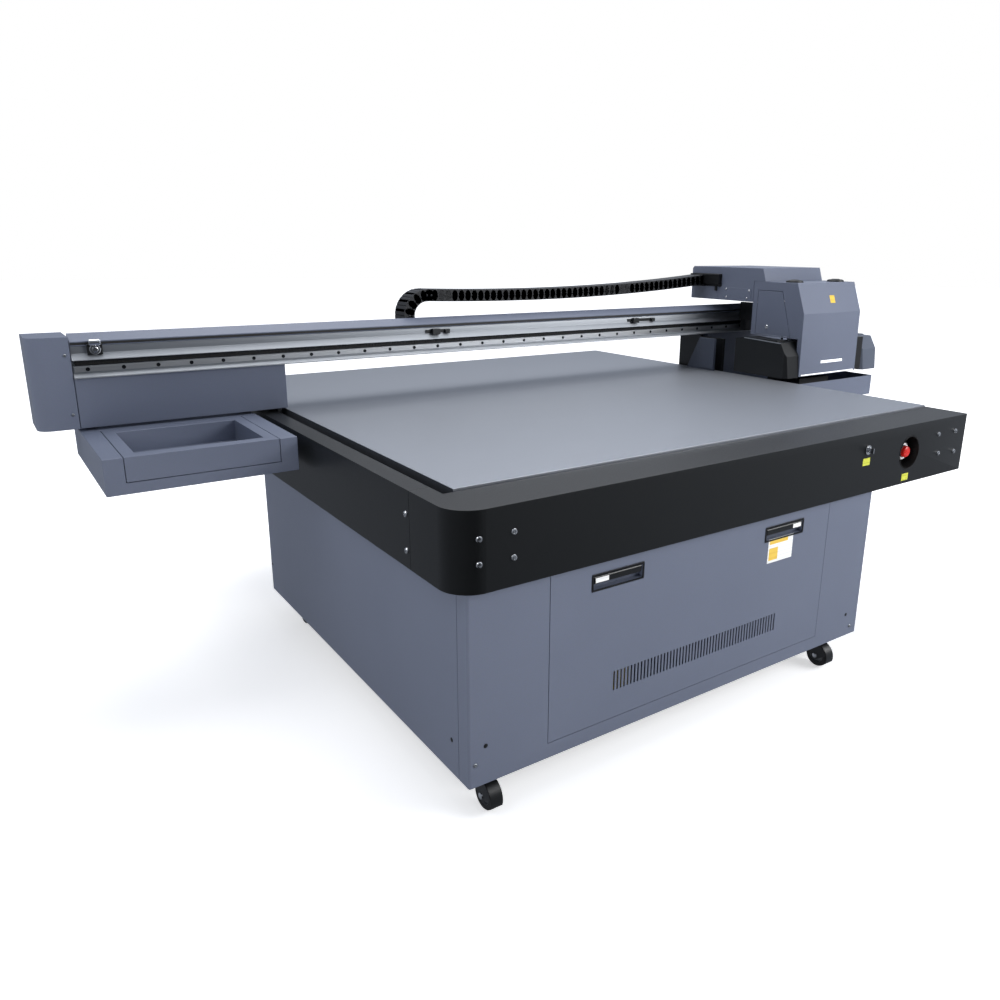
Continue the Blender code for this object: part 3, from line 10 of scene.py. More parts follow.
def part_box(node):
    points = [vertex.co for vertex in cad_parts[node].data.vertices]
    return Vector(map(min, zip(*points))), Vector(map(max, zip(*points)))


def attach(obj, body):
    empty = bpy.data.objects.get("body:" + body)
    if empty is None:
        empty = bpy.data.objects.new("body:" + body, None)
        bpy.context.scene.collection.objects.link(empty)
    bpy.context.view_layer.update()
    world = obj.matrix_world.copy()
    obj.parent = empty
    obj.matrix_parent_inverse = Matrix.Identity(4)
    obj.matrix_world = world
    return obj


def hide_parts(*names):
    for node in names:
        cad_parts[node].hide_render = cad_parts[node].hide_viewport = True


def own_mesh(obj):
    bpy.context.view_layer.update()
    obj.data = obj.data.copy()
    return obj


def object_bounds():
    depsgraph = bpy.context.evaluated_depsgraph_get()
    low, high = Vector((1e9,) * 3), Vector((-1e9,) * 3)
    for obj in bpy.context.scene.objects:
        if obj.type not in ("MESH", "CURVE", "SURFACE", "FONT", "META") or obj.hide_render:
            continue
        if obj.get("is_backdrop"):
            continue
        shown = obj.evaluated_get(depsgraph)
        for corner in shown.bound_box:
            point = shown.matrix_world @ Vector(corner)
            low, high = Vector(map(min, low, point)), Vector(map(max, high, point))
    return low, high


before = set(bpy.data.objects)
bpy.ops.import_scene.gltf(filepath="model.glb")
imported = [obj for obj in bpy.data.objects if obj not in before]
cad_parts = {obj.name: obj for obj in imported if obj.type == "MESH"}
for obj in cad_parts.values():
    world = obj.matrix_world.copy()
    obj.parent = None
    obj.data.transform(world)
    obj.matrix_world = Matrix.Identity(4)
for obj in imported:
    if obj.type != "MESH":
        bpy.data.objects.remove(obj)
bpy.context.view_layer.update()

# ---------------------------------------------------------------- view, light and floor
# The camera stands a little above the bed at the machine's left front corner. The light is one
# wide softbox overhead, one in front on the right and a weak one on the left, in a dim room
# that is lightest on the right, over a white floor that glows more with distance, like a sweep.
camera_data = bpy.data.cameras.new("view")
camera_data.lens = 29.54
camera_data.sensor_width = 36.0
camera_data.shift_x, camera_data.shift_y = -0.0289, -0.0208
camera_data.clip_end = 60
camera = bpy.data.objects.new("view", camera_data)
TURN, TILT, LEAN = 34.82, 15.85, 0.53
camera.matrix_world = (
    Matrix.Translation((-2.3485, -3.0852, 1.700))
    @ Matrix.Rotation(math.radians(-TURN), 4, "Z")
    @ Matrix.Rotation(math.radians(90 - TILT), 4, "X")
    @ Matrix.Rotation(math.radians(LEAN), 4, "Z")
)
bpy.context.scene.collection.objects.link(camera)
bpy.context.scene.camera = camera
bpy.context.scene.view_settings.view_transform = "Standard"
bpy.context.scene.view_settings.look = "None"


def srgb(code):
    """Linear colour of an sRGB hex code such as 5C6272."""
    channels = [int(code[i:i + 2], 16) / 255 for i in (0, 2, 4)]
    return (*[c / 12.92 if c <= 0.04045 else ((c + 0.055) / 1.055) ** 2.4 for c in channels], 1.0)


def add(tree, kind, inputs=None, **settings):
    """Adds one node with its settings; an input takes a value or the socket that feeds it."""
    node = tree.nodes.new(kind)
    for name, value in settings.items():
        setattr(node, name, value)
    for key, value in (inputs or {}).items():
        if isinstance(value, bpy.types.NodeSocket):
            tree.links.new(value, node.inputs[key])
        else:
            node.inputs[key].default_value = value
    return node


def softbox(name, place, aim, width, depth, power):
    """A rectangular area light at place that faces aim."""
    data = bpy.data.lights.new(name, "AREA")
    data.shape, data.size, data.size_y, data.energy = "RECTANGLE", width, depth, power
    lamp = bpy.data.objects.new(name, data)
    way = Vector(aim) - Vector(place)
    lamp.matrix_world = Matrix.Translation(place) @ way.to_track_quat("-Z", "Y").to_matrix().to_4x4()
    bpy.context.scene.collection.objects.link(lamp)


softbox("softbox_above", (0.6, 0.9, 5.4), (0.3, 0.2, 0.8), 5.0, 4.0, 230)
softbox("softbox_front", (3.6, -4.8, 3.4), (0.9, 0.0, 0.7), 3.4, 2.4, 215)
softbox("softbox_left", (-4.2, -0.4, 4.6), (0.0, 0.0, 0.7), 3.5, 2.4, 46)

world = bpy.data.worlds.new("studio")
bpy.context.scene.world = world
world.use_nodes = True
tree = world.node_tree
tree.nodes.clear()
gaze = add(tree, "ShaderNodeTexCoord").outputs["Generated"]
share = None
for way, strength in (((0, 0, 1), 0.36), ((-1, 0, 0), 0.20), ((1, 0, 0), 0.48), ((0, 1, 0), 0.25)):
    towards = add(tree, "ShaderNodeVectorMath", {0: gaze, 1: way}, operation="DOT_PRODUCT")
    lit = add(tree, "ShaderNodeMath", {0: towards.outputs["Value"], 1: 0.0}, operation="MAXIMUM")
    so_far = share.outputs[0] if share else 0.0
    share = add(tree, "ShaderNodeMath", {0: lit.outputs[0], 1: strength, 2: so_far}, operation="MULTIPLY_ADD")
room = add(tree, "ShaderNodeBackground", {"Color": srgb("E9F1FF"), "Strength": share.outputs[0]})
white = add(tree, "ShaderNodeBackground", {"Color": (1, 1, 1, 1), "Strength": 1.0})
seen = add(tree, "ShaderNodeLightPath")
either = add(tree, "ShaderNodeMixShader", {0: seen.outputs["Is Camera Ray"]})
tree.links.new(room.outputs[0], either.inputs[1])
tree.links.new(white.outputs[0], either.inputs[2])
add(tree, "ShaderNodeOutputWorld", {"Surface": either.outputs[0]})


def new_material(name):
    """An empty node material and its Principled shader, wired to the output."""
    material = bpy.data.materials.new(name)
    material.use_nodes = True
    tree = material.node_tree
    tree.nodes.clear()
    shader = add(tree, "ShaderNodeBsdfPrincipled")
    add(tree, "ShaderNodeOutputMaterial", {"Surface": shader.outputs[0]})
    return material, tree, shader


def mixed(tree, share, one, two, **settings):
    """The colour that lies between one and two by share."""
    return add(tree, "ShaderNodeMix", {0: share, 6: one, 7: two}, data_type="RGBA", **settings).outputs[2]


# Painted studio floor: matt white paint, rolled on, so it is a touch uneven in tone.
floor_paint, tree, shader = new_material("studio_floor_paint")
where = add(tree, "ShaderNodeTexCoord")
roll = add(tree, "ShaderNodeTexNoise", {"Vector": where.outputs["Object"], "Scale": 0.7, "Detail": 2.0})
tone = mixed(tree, roll.outputs["Fac"], srgb("F4F4F5"), srgb("FBFBFC"))
tree.links.new(tone, shader.inputs["Base Color"])
shader.inputs["Roughness"].default_value = 0.85
shader.inputs["Specular IOR Level"].default_value = 0.2
shader.inputs["Emission Color"].default_value = (1, 1, 1, 1)
reach = add(tree, "ShaderNodeVectorMath", {0: where.outputs["Object"]}, operation="LENGTH")
sweep = add(tree, "ShaderNodeMapRange", {"Value": reach.outputs["Value"], "From Min": 2.6, "From Max": 6.0,
                                         "To Min": 0.56, "To Max": 1.0})
tree.links.new(sweep.outputs["Result"], shader.inputs["Emission Strength"])
floor_mesh = bpy.data.meshes.new("studio_floor")
FLOOR_RADIUS, FLOOR_SIDES = 40, 48
turns = [math.tau * i / FLOOR_SIDES for i in range(FLOOR_SIDES)]
ring = [(FLOOR_RADIUS * math.cos(turn), FLOOR_RADIUS * math.sin(turn), 0) for turn in turns]
floor_mesh.from_pydata(ring, [], [tuple(range(FLOOR_SIDES))])
studio_floor = bpy.data.objects.new("studio_floor", floor_mesh)
studio_floor.data.materials.append(floor_paint)
studio_floor.visible_glossy = False
bpy.context.scene.collection.objects.link(studio_floor)
studio_floor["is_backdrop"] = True

# ---------------------------------------------------------------- welded frame and floor pan
# Square steel tube, welded, and a folded steel pan that closes the cabinet below. Both are
# dipped in dark grey stove enamel, which is even and half matt, with a faint unevenness.
corner = Vector((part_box("cabinet_front")[0].x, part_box("cabinet_front")[0].y, 0))


def spot(x, y, z):
    """A place measured from the cabinet's front left corner on the floor."""
    return corner + Vector((x, y, z))


def grained(tree, shader, field, roughness, spread, strength, relief_mm):
    """Lets one noise field vary a material's gloss about its roughness and raise its relief."""
    gloss = add(tree, "ShaderNodeMapRange", {"Value": field, "To Min": roughness - spread,
                                             "To Max": roughness + spread})
    bump = add(tree, "ShaderNodeBump", {"Height": field, "Strength": strength, "Distance": relief_mm / 1000})
    tree.links.new(gloss.outputs["Result"], shader.inputs["Roughness"])
    tree.links.new(bump.outputs["Normal"], shader.inputs["Normal"])


def painted(name, colour, shade, roughness, peel_mm=5.0, relief_mm=0.05, cloud_mm=420.0):
    """Paint on metal: a cloudy tone between two colours, and orange peel in its gloss and relief."""
    material, tree, shader = new_material(name)
    where = add(tree, "ShaderNodeTexCoord").outputs["Object"]
    cloud = add(tree, "ShaderNodeTexNoise", {"Vector": where, "Scale": 1000 / cloud_mm, "Detail": 3.0})
    peel = add(tree, "ShaderNodeTexNoise", {"Vector": where, "Scale": 1000 / peel_mm, "Detail": 2.0})
    tone = mixed(tree, cloud.outputs["Fac"], srgb(shade), srgb(colour))
    fleck = mixed(tree, 0.08, tone, peel.outputs["Color"], blend_type="SOFT_LIGHT")
    tree.links.new(fleck, shader.inputs["Base Color"])
    grained(tree, shader, peel.outputs["Fac"], roughness, 0.05, 0.35, relief_mm)
    return material


def coat(material, *nodes):
    """Gives kept CAD nodes their real finish."""
    for node in nodes:
        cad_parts[node].material_slots[0].material = material


frame_enamel = painted("dipped_steel_enamel", "3A3D43", "33363B", 0.55)
coat(frame_enamel, "base_frame", "cabinet_floor", "table_frame")

# ---------------------------------------------------------------- cabinet panels
# Front, two sides and back of 3 mm sheet steel, folded at the brake and powder coated in a
# satin blue grey. Folding leaves a small radius on each edge, which catches the light.
blue_grey = painted("powder_coat_blue_grey", "686F81", "61687A", 0.44)


def settle(obj):
    """Applies an object's modifiers."""
    bpy.context.view_layer.update()
    graph = bpy.context.evaluated_depsgraph_get()
    mesh = bpy.data.meshes.new_from_object(obj.evaluated_get(graph))
    obj.modifiers.clear()
    obj.data = mesh


def shaped(name, bm, edge=0.0, segments=2, bend=28):
    """A piece from a bmesh. Edges that turn by more than bend degrees are rounded by edge metres."""
    bmesh.ops.recalc_face_normals(bm, faces=bm.faces)
    mesh = bpy.data.meshes.new(name)
    bm.to_mesh(mesh)
    bm.free()
    mesh.shade_smooth()
    mesh.set_sharp_from_angle(angle=math.radians(bend))
    obj = bpy.data.objects.new(name, mesh)
    bpy.context.scene.collection.objects.link(obj)
    if edge:
        rounding = obj.modifiers.new("rounding", "BEVEL")
        rounding.width = edge
        rounding.segments = segments
        rounding.limit_method = "ANGLE"
        rounding.angle_limit = math.radians(bend)
        rounding.harden_normals = True
        settle(obj)
    return obj


def fitted(obj, material, body, slot, *nodes):
    """Paints a piece, rides it on its body and hides the CAD nodes it stands for."""
    obj.data.materials.clear()
    obj.data.materials.append(material)
    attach(obj, body)
    if nodes:
        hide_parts(*nodes)
    return obj


def folded(node, material, body, slot, edge=0.0012, segments=2, bend=28):
    """A CAD node's own shape with its edges rounded, in place of the node."""
    bm = bmesh.new()
    bm.from_mesh(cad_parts[node].data)
    bmesh.ops.remove_doubles(bm, verts=bm.verts, dist=0.00002)
    bmesh.ops.dissolve_limit(bm, angle_limit=math.radians(1), verts=bm.verts, edges=bm.edges)
    return fitted(shaped(f"{node}_skin", bm, edge, segments, bend), material, body, slot, node)


for panel in ("cabinet_front", "cabinet_left", "cabinet_right", "cabinet_back"):
    folded(panel, blue_grey, "chassis", "blue_grey_paint")


def block(bm, low, high):
    """Adds a box between two corners."""
    size, middle = Vector(high) - Vector(low), (Vector(high) + Vector(low)) / 2
    bmesh.ops.create_cube(bm, size=1, matrix=Matrix.Translation(middle) @ Matrix.Diagonal((*size, 1)))


def lathe(bm, profile, base, way, sides=24, loop=False):
    """Spins (radius, distance) pairs round the line that starts at base and points along way."""
    turn = Vector(way).to_track_quat("Z", "Y").to_matrix()
    rings = []
    for radius, distance in profile:
        spokes = 1 if radius == 0 else sides
        rings.append([
            bm.verts.new(Vector(base) + turn @ Vector((radius * math.cos(math.tau * i / sides),
                                                       radius * math.sin(math.tau * i / sides), distance)))
            for i in range(spokes)])
    pairs = list(zip(rings, rings[1:])) + ([(rings[-1], rings[0])] if loop else [])
    for one, two in pairs:
        for i in range(sides):
            j = (i + 1) % sides
            corners = [one[i % len(one)], one[j % len(one)], two[j % len(two)], two[i % len(two)]]
            corners = list(dict.fromkeys(corners))
            if len(corners) > 2:
                bm.faces.new(corners)


def extrude(bm, outline, start, end, axis):
    """Pushes an outline from start to end: (y, z) along x, (x, z) along y, (x, y) along z."""
    def point(a, b, c):
        return {"x": (c, a, b), "y": (a, c, b), "z": (a, b, c)}[axis]
    first = [bm.verts.new(point(a, b, start)) for a, b in outline]
    last = [bm.verts.new(point(a, b, end)) for a, b in outline]
    bm.faces.new(first)
    bm.faces.new(last)
    for i in range(len(outline)):
        bm.faces.new((first[i - 1], first[i], last[i], last[i - 1]))


# Socket button-head screws in zinc or chrome, and nylon plugs in spare holes: turned parts that
# are set on marked points, each with the way its head faces.
def tree_with(name, **sockets):
    """A Geometry Nodes tree with a geometry in and out and further named inputs."""
    tree = bpy.data.node_groups.new(name, "GeometryNodeTree")
    tree.interface.new_socket("Geometry", in_out="INPUT", socket_type="NodeSocketGeometry")
    for label, kind in sockets.items():
        tree.interface.new_socket(label, in_out="INPUT", socket_type=f"NodeSocket{kind}")
    tree.interface.new_socket("Geometry", in_out="OUTPUT", socket_type="NodeSocketGeometry")
    return tree, tree.nodes.new("NodeGroupInput")


def placed_in(tree, given, points, turned):
    """Ends a tree: the given piece on every point, turned, made real and in its finish."""
    one = add(tree, "GeometryNodeObjectInfo", {"Object": given.outputs["Piece"]})
    placed = add(tree, "GeometryNodeInstanceOnPoints", {
        "Points": points, "Instance": one.outputs["Geometry"], "Rotation": turned.outputs["Rotation"]})
    real = add(tree, "GeometryNodeRealizeInstances", {"Geometry": placed.outputs["Instances"]})
    dressed = add(tree, "GeometryNodeSetMaterial", {"Geometry": real.outputs["Geometry"],
                                                    "Material": given.outputs["Finish"]})
    add(tree, "NodeGroupOutput", {"Geometry": dressed.outputs["Geometry"]})


on_points, given = tree_with("pieces_on_points", Piece="Object", Finish="Material")
facing = add(on_points, "GeometryNodeInputNamedAttribute", {"Name": "facing"}, data_type="FLOAT_VECTOR")
turned = add(on_points, "FunctionNodeAlignRotationToVector", {"Vector": facing.outputs["Attribute"]},
             axis="Z")
placed_in(on_points, given, given.outputs["Geometry"], turned)


def repeated(name, tree, pattern, points, edges=(), facings=None, **values):
    """Runs a tree that repeats pattern over points, and returns the result as one plain piece."""
    mesh = bpy.data.meshes.new(name)
    mesh.from_pydata([tuple(p) for p in points], list(edges), [])
    if facings:
        ways = mesh.attributes.new("facing", "FLOAT_VECTOR", "POINT")
        ways.data.foreach_set("vector", [c for way in facings for c in way])
    obj = bpy.data.objects.new(name, mesh)
    bpy.context.scene.collection.objects.link(obj)
    modifier = obj.modifiers.new("repeat", "NODES")
    modifier.node_group = tree
    values["Piece"] = pattern
    for item in tree.interface.items_tree:
        if item.in_out == "INPUT" and item.name in values:
            modifier[item.identifier] = values[item.name]
    settle(obj)
    bpy.data.objects.remove(pattern, do_unlink=True)
    obj.data.shade_smooth()
    obj.data.set_sharp_from_angle(angle=math.radians(28))
    return obj


def button_screw(radius):
    """A button head with its hex socket, standing on its bearing face."""
    bm = bmesh.new()
    lathe(bm, [(0, 0.10 * radius), (0.42 * radius, 0.10 * radius), (0.46 * radius, 0.50 * radius),
               (0.72 * radius, 0.44 * radius), (0.93 * radius, 0.22 * radius), (radius, 0.06 * radius),
               (radius, 0), (0, 0)], (0, 0, 0), (0, 0, 1), 18)
    return shaped("screw_pattern", bm)


def screwed(name, radius, points, ways, finish, body, slot):
    """Button screws on their points, each head facing its way."""
    screws = repeated(name, on_points, button_screw(radius), points, facings=ways, Finish=finish)
    fitted(screws, finish, body, slot)


def darker(code, share):
    """The colour of a hex code with its light cut to a share."""
    return [share * channel for channel in srgb(code)[:3]] + [1]


def metal(name, colour, roughness, grain_mm=(3.0, 3.0, 3.0), relief_mm=0.02, spread=0.05):
    """Bare or plated metal: a grain stretched along its working direction in gloss and relief."""
    material, tree, shader = new_material(name)
    where = add(tree, "ShaderNodeTexCoord").outputs["Object"]
    along = add(tree, "ShaderNodeMapping", {"Vector": where, "Scale": [1000 / size for size in grain_mm]})
    grain = add(tree, "ShaderNodeTexNoise", {"Vector": along.outputs[0], "Scale": 1.0, "Detail": 3.0})
    tone = mixed(tree, grain.outputs["Fac"], darker(colour, 0.88), srgb(colour))
    tree.links.new(tone, shader.inputs["Base Color"])
    grained(tree, shader, grain.outputs["Fac"], roughness, spread, 0.3, relief_mm)
    shader.inputs["Metallic"].default_value = 1.0
    return material


chrome = metal("chrome_plate", "E6E7E9", 0.14, (40, 40, 40), 0.01, 0.03)
zinc = metal("bright_zinc_plate", "C9CCCF", 0.32, (6, 6, 6), 0.02)

FRONT_SCREWS = ((0.022, 0.201), (1.872, 0.161))
points = [spot(x, 0, z) for x, z in FRONT_SCREWS]
screwed("cabinet_front_screws", 0.0075, points, [(0, -1, 0)] * len(points), zinc, "chassis", "zinc_steel")


def moulded(name, colour, roughness, grain_mm=4.0, relief_mm=0.04):
    """Moulded plastic with the fine spark-eroded grain of its tool, drawn coarse enough to show."""
    material, tree, shader = new_material(name)
    where = add(tree, "ShaderNodeTexCoord").outputs["Object"]
    grain = add(tree, "ShaderNodeTexNoise", {"Vector": where, "Scale": 1000 / grain_mm, "Detail": 2.0})
    tone = mixed(tree, grain.outputs["Fac"], darker(colour, 0.85), srgb(colour))
    tree.links.new(tone, shader.inputs["Base Color"])
    grained(tree, shader, grain.outputs["Fac"], roughness, 0.06, 0.3, relief_mm)
    return material


black_nylon = moulded("moulded_black_nylon", "17181A", 0.42)


def hole_plug(radius):
    """A low domed plug with a flat flange."""
    bm = bmesh.new()
    lathe(bm, [(0, 0.28 * radius), (0.5 * radius, 0.24 * radius), (0.85 * radius, 0.14 * radius),
               (radius, 0.05 * radius), (radius, 0), (0, 0)], (0, 0, 0), (0, 0, 1), 16)
    return shaped("plug_pattern", bm)


points = [spot(0.059, 0, 0.255), spot(1.837, 0, 0.222), spot(0, 0.103, 0.241), spot(0, 1.803, 0.252)]
ways = [(0, -1, 0), (0, -1, 0), (-1, 0, 0), (-1, 0, 0)]
plugs = repeated("cabinet_hole_plugs", on_points, hole_plug(0.0075), points, facings=ways,
                 Finish=black_nylon)
fitted(plugs, black_nylon, "chassis", "black_plastic")

# Mains inlet: black moulded thermoplastic with three nickel blades in its hollow.
folded("power_inlet", black_nylon, "chassis", "black_plastic", 0.0008)
inlet_low, inlet_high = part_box("power_inlet")
middle = (inlet_low + inlet_high) / 2
bm = bmesh.new()
for dx, dz in ((-0.011, -0.004), (0.011, -0.004), (0, 0.007)):
    block(bm, (middle.x + dx - 0.001, inlet_high.y - 0.0335, middle.z + dz - 0.003),
          (middle.x + dx + 0.001, inlet_high.y - 0.012, middle.z + dz + 0.003))
fitted(shaped("inlet_blades", bm, 0.0004), zinc, "chassis", "zinc_steel")

# ---------------------------------------------------------------- front door and its latches
# A pan-shaped steel door, powder coated like the cabinet, with stamped air slots. Two black
# paddle latches sit in pockets, each under a moulded bezel, and carry blank vinyl stickers.
folded("front_door", blue_grey, "front_door", "blue_grey_paint", 0.0009)
door_low, door_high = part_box("front_door")
glossy_black = moulded("moulded_black_abs", "101113", 0.30)
for side in ("left", "right"):
    low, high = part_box(f"latch_{side}")
    middle = (low + high) / 2
    half, tall, rim = (high.x - low.x) / 2 + 0.0045, 0.0235, 0.006
    bezel = bmesh.new()
    face = door_low.y
    centre_z = high.z - 0.019
    out, up = half + rim, tall + rim
    bars = (((-out, -up), (out, -tall)), ((-out, tall), (out, up)),
            ((-out, -tall), (-half, tall)), ((half, -tall), (out, tall)))
    for (a, b), (c, d) in bars:
        block(bezel, (middle.x + a, face - 0.0025, centre_z + b),
              (middle.x + c, face - 0.0002, centre_z + d))
    bmesh.ops.remove_doubles(bezel, verts=bezel.verts, dist=0.00001)
    fitted(shaped(f"latch_bezel_{side}", bezel, 0.0008), glossy_black, "front_door", "black_plastic")
    paddle = bmesh.new()
    outline = [(low.y, low.z + 0.001), (low.y - 0.0012, low.z + 0.004), (low.y - 0.0012, high.z - 0.003),
               (low.y + 0.001, high.z), (high.y, high.z), (high.y, high.z - 0.010), (high.y - 0.005, low.z)]
    extrude(paddle, outline, low.x, high.x, "x")
    fitted(shaped(f"latch_paddle_{side}", paddle, 0.0008), glossy_black, f"latch_{side}", "black_plastic",
           f"latch_{side}")


def printed(name, colour, band, edge_mm=3.0):
    """Printed vinyl: a plain field with broad tinted bars, which carry no lettering."""
    material, tree, shader = new_material(name)
    where = add(tree, "ShaderNodeTexCoord").outputs["Object"]
    split = add(tree, "ShaderNodeSeparateXYZ", {"Vector": where})
    waves = add(tree, "ShaderNodeMath", {0: split.outputs["Z"], 1: 1000 / edge_mm}, operation="MULTIPLY")
    bars = add(tree, "ShaderNodeMath", {0: waves.outputs[0]}, operation="SINE")
    cloud = add(tree, "ShaderNodeTexNoise", {"Vector": where, "Scale": 260.0})
    sharp = add(tree, "ShaderNodeMapRange", {"Value": bars.outputs[0], "From Min": 0.55, "From Max": 0.7,
                                             "To Min": 0.0, "To Max": 0.35})
    tone = mixed(tree, sharp.outputs["Result"], srgb(colour), srgb(band))
    gloss = add(tree, "ShaderNodeMapRange", {"Value": cloud.outputs["Fac"], "To Min": 0.28, "To Max": 0.4})
    tree.links.new(tone, shader.inputs["Base Color"])
    tree.links.new(gloss.outputs["Result"], shader.inputs["Roughness"])
    return material


white_vinyl = printed("printed_vinyl_white", "F1F1EE", "C9CBD0", 2.4)
yellow_vinyl = printed("printed_vinyl_yellow", "E9C34A", "D9A93A", 3.2)
lime_vinyl = printed("printed_vinyl_lime", "C9CC3C", "8F9424", 3.0)


def sticker(name, low, high, material, body, slot="white_diffuser"):
    """A die-cut vinyl sticker with rounded corners."""
    bm = bmesh.new()
    block(bm, low, high)
    return fitted(shaped(name, bm, 0.0002, 1), material, body, slot)


left_low, left_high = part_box("latch_left")
right_low, right_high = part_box("latch_right")
paddle_face = left_low.y - 0.0012
sticker("latch_sticker_left", (left_low.x + 0.004, paddle_face - 0.0006, left_low.z + 0.004),
        (left_low.x + 0.058, paddle_face - 0.0001, left_high.z - 0.004), white_vinyl, "latch_left")
sticker("latch_sticker_right", (right_high.x - 0.050, paddle_face - 0.0006, right_low.z + 0.004),
        (right_high.x - 0.004, paddle_face - 0.0001, right_high.z - 0.004), white_vinyl, "latch_right")
info_low, info_high = spot(1.290, 0, 0.570), spot(1.430, 0, 0.665)
face = door_low.y
sticker("info_sticker", (info_low.x, face - 0.0006, info_low.z), (info_high.x, face - 0.0001, info_high.z),
        white_vinyl, "front_door")
sticker("info_sticker_band", (info_low.x + 0.006, face - 0.0011, info_high.z - 0.022),
        (info_high.x - 0.030, face - 0.0007, info_high.z - 0.007), yellow_vinyl, "front_door")
sticker("info_sticker_square", (info_low.x + 0.006, face - 0.0011, info_low.z + 0.010),
        (info_low.x + 0.056, face - 0.0007, info_low.z + 0.058), yellow_vinyl, "front_door")

# ---------------------------------------------------------------- inside the cabinet
# A painted steel control box, a cast aluminium side-channel blower, and four polythene ink
# bottles with coloured ink, each with a screw cap over its neck.
box_grey = painted("control_box_grey", "C3C6C9", "B9BCC0", 0.5)
cast_aluminium = metal("cast_aluminium", "A6A9AB", 0.55, (5, 5, 5), 0.12)
folded("electronics_box", box_grey, "chassis", "lamp_grey", 0.0015)
folded("vacuum_blower", cast_aluminium, "chassis", "zinc_steel", 0.003)
low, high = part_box("vacuum_blower")
bm = bmesh.new()
for i in range(9):
    lathe(bm, [(0.060, 0), (0.168, 0), (0.168, 0.004), (0.060, 0.004)],
          ((low.x + high.x) / 2, low.y + 0.012 + i * 0.009, low.z + 0.190), (0, 1, 0), 40, loop=True)
fitted(shaped("blower_fins", bm), cast_aluminium, "chassis", "zinc_steel")
for ink, colour in (("black", "1B1B1D"), ("cyan", "1788B0"), ("magenta", "B02463"), ("yellow", "D9BE22")):
    polythene = moulded(f"polythene_with_{ink}_ink", colour, 0.38, 30.0, 0.2)
    node = f"ink_tank_{ink}"
    folded(node, polythene, "chassis", "ink_tank", 0.006, 3)
    low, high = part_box(node)
    middle = (low + high) / 2
    cap = bmesh.new()
    lathe(cap, [(0, 0.004), (0.026, 0.004), (0.0295, 0.001), (0.0295, -0.030), (0.0265, -0.030),
                (0.0265, -0.001), (0, -0.001)], (middle.x, middle.y, high.z + 0.001), (0, 0, 1), 28)
    fitted(shaped(f"ink_cap_{ink}", cap), black_nylon, "chassis", "black_plastic")

# ---------------------------------------------------------------- table aprons
# Front apron and side skirts: folded 3 mm steel in satin black powder coat. The front one turns
# the left corner in a wide radius, and chromed button screws hold it to the table frame.
black_coat = painted("powder_coat_satin_black", "0B0E10", "080A0C", 0.40, relief_mm=0.04)
folded("front_fascia", black_coat, "chassis", "black_paint", 0.0028, 3)
for skirt in ("skirt_left", "skirt_right", "skirt_back"):
    folded(skirt, black_coat, "chassis", "black_paint", 0.0012)
fascia_low, fascia_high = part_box("front_fascia")
FASCIA_SCREWS = ((0.028, 0.926), (0.142, 0.928), (0.028, 0.851), (0.142, 0.850),
                 (2.316, 0.945), (2.448, 0.944), (2.332, 0.860), (2.457, 0.852))
points, ways = [], []
bend_radius = 0.100
for x, z in FASCIA_SCREWS:
    place = spot(x, 0, z)
    inward = fascia_low.x + bend_radius - place.x
    if inward > 0:
        lean = math.asin(inward / bend_radius)
        place.y = fascia_low.y + bend_radius * (1 - math.cos(lean))
        ways.append((-math.sin(lean), -math.cos(lean), 0))
    else:
        place.y = fascia_low.y
        ways.append((0, -1, 0))
    points.append(place)
skirt_low, skirt_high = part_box("skirt_left")
for z in (0.934, 0.818):
    points.append(Vector((skirt_low.x, spot(0, 0.267, 0).y, z)))
    ways.append((-1, 0, 0))
screwed("fascia_screws", 0.0105, points, ways, chrome, "chassis", "chrome")

# ---------------------------------------------------------------- emergency stop and key switch
# The stop is a red moulded mushroom on a white collar in a deep black cup. The key switch is a
# chromed ring and key. A blank lime sticker stands under each.
folded("stop_cup", painted("cup_deep_black", "0A0B0C", "070808", 0.5), "chassis", "black_paint", 0.0006)
signal_red = moulded("moulded_signal_red", "C81D14", 0.28)
low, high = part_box("stop_button")
centre = (low + high) / 2
radius = (high.x - low.x) / 2
bm = bmesh.new()
front = low.y
stem, stem_length = 0.34 * radius, high.y - front
lathe(bm, [(0, 0), (0.35 * radius, 0.0002), (0.70 * radius, 0.0016), (0.90 * radius, 0.0046),
           (radius, 0.0095), (radius, 0.0165), (0.93 * radius, 0.0195), (stem, 0.0215),
           (stem, stem_length), (0, stem_length)], (centre.x, front, centre.z), (0, 1, 0), 40)
fitted(shaped("stop_head", bm), signal_red, "stop_button", "red_plastic", "stop_button")
cup_low, cup_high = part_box("stop_cup")
bm = bmesh.new()
lathe(bm, [(0.026, 0), (0.034, 0), (0.036, 0.002), (0.036, 0.006), (0.026, 0.006)],
      (centre.x, cup_high.y - 0.0275, centre.z), (0, 1, 0), 40, loop=True)
white_abs = moulded("moulded_white_abs", "E4E5E6", 0.35)
fitted(shaped("stop_collar_ring", bm), white_abs, "chassis", "white_diffuser")
folded("key_barrel", chrome, "chassis", "chrome", 0.0006)
folded("key", chrome, "key", "chrome", 0.0004)
face = fascia_low.y
for name, x, z in (("key_sticker", 1.808, 0.895), ("stop_sticker", 2.096, 0.790)):
    place = spot(x, 0, z)
    sticker(name, (place.x - 0.023, face - 0.0006, z - 0.015), (place.x + 0.023, face - 0.0001, z + 0.015),
            lime_vinyl, "chassis")

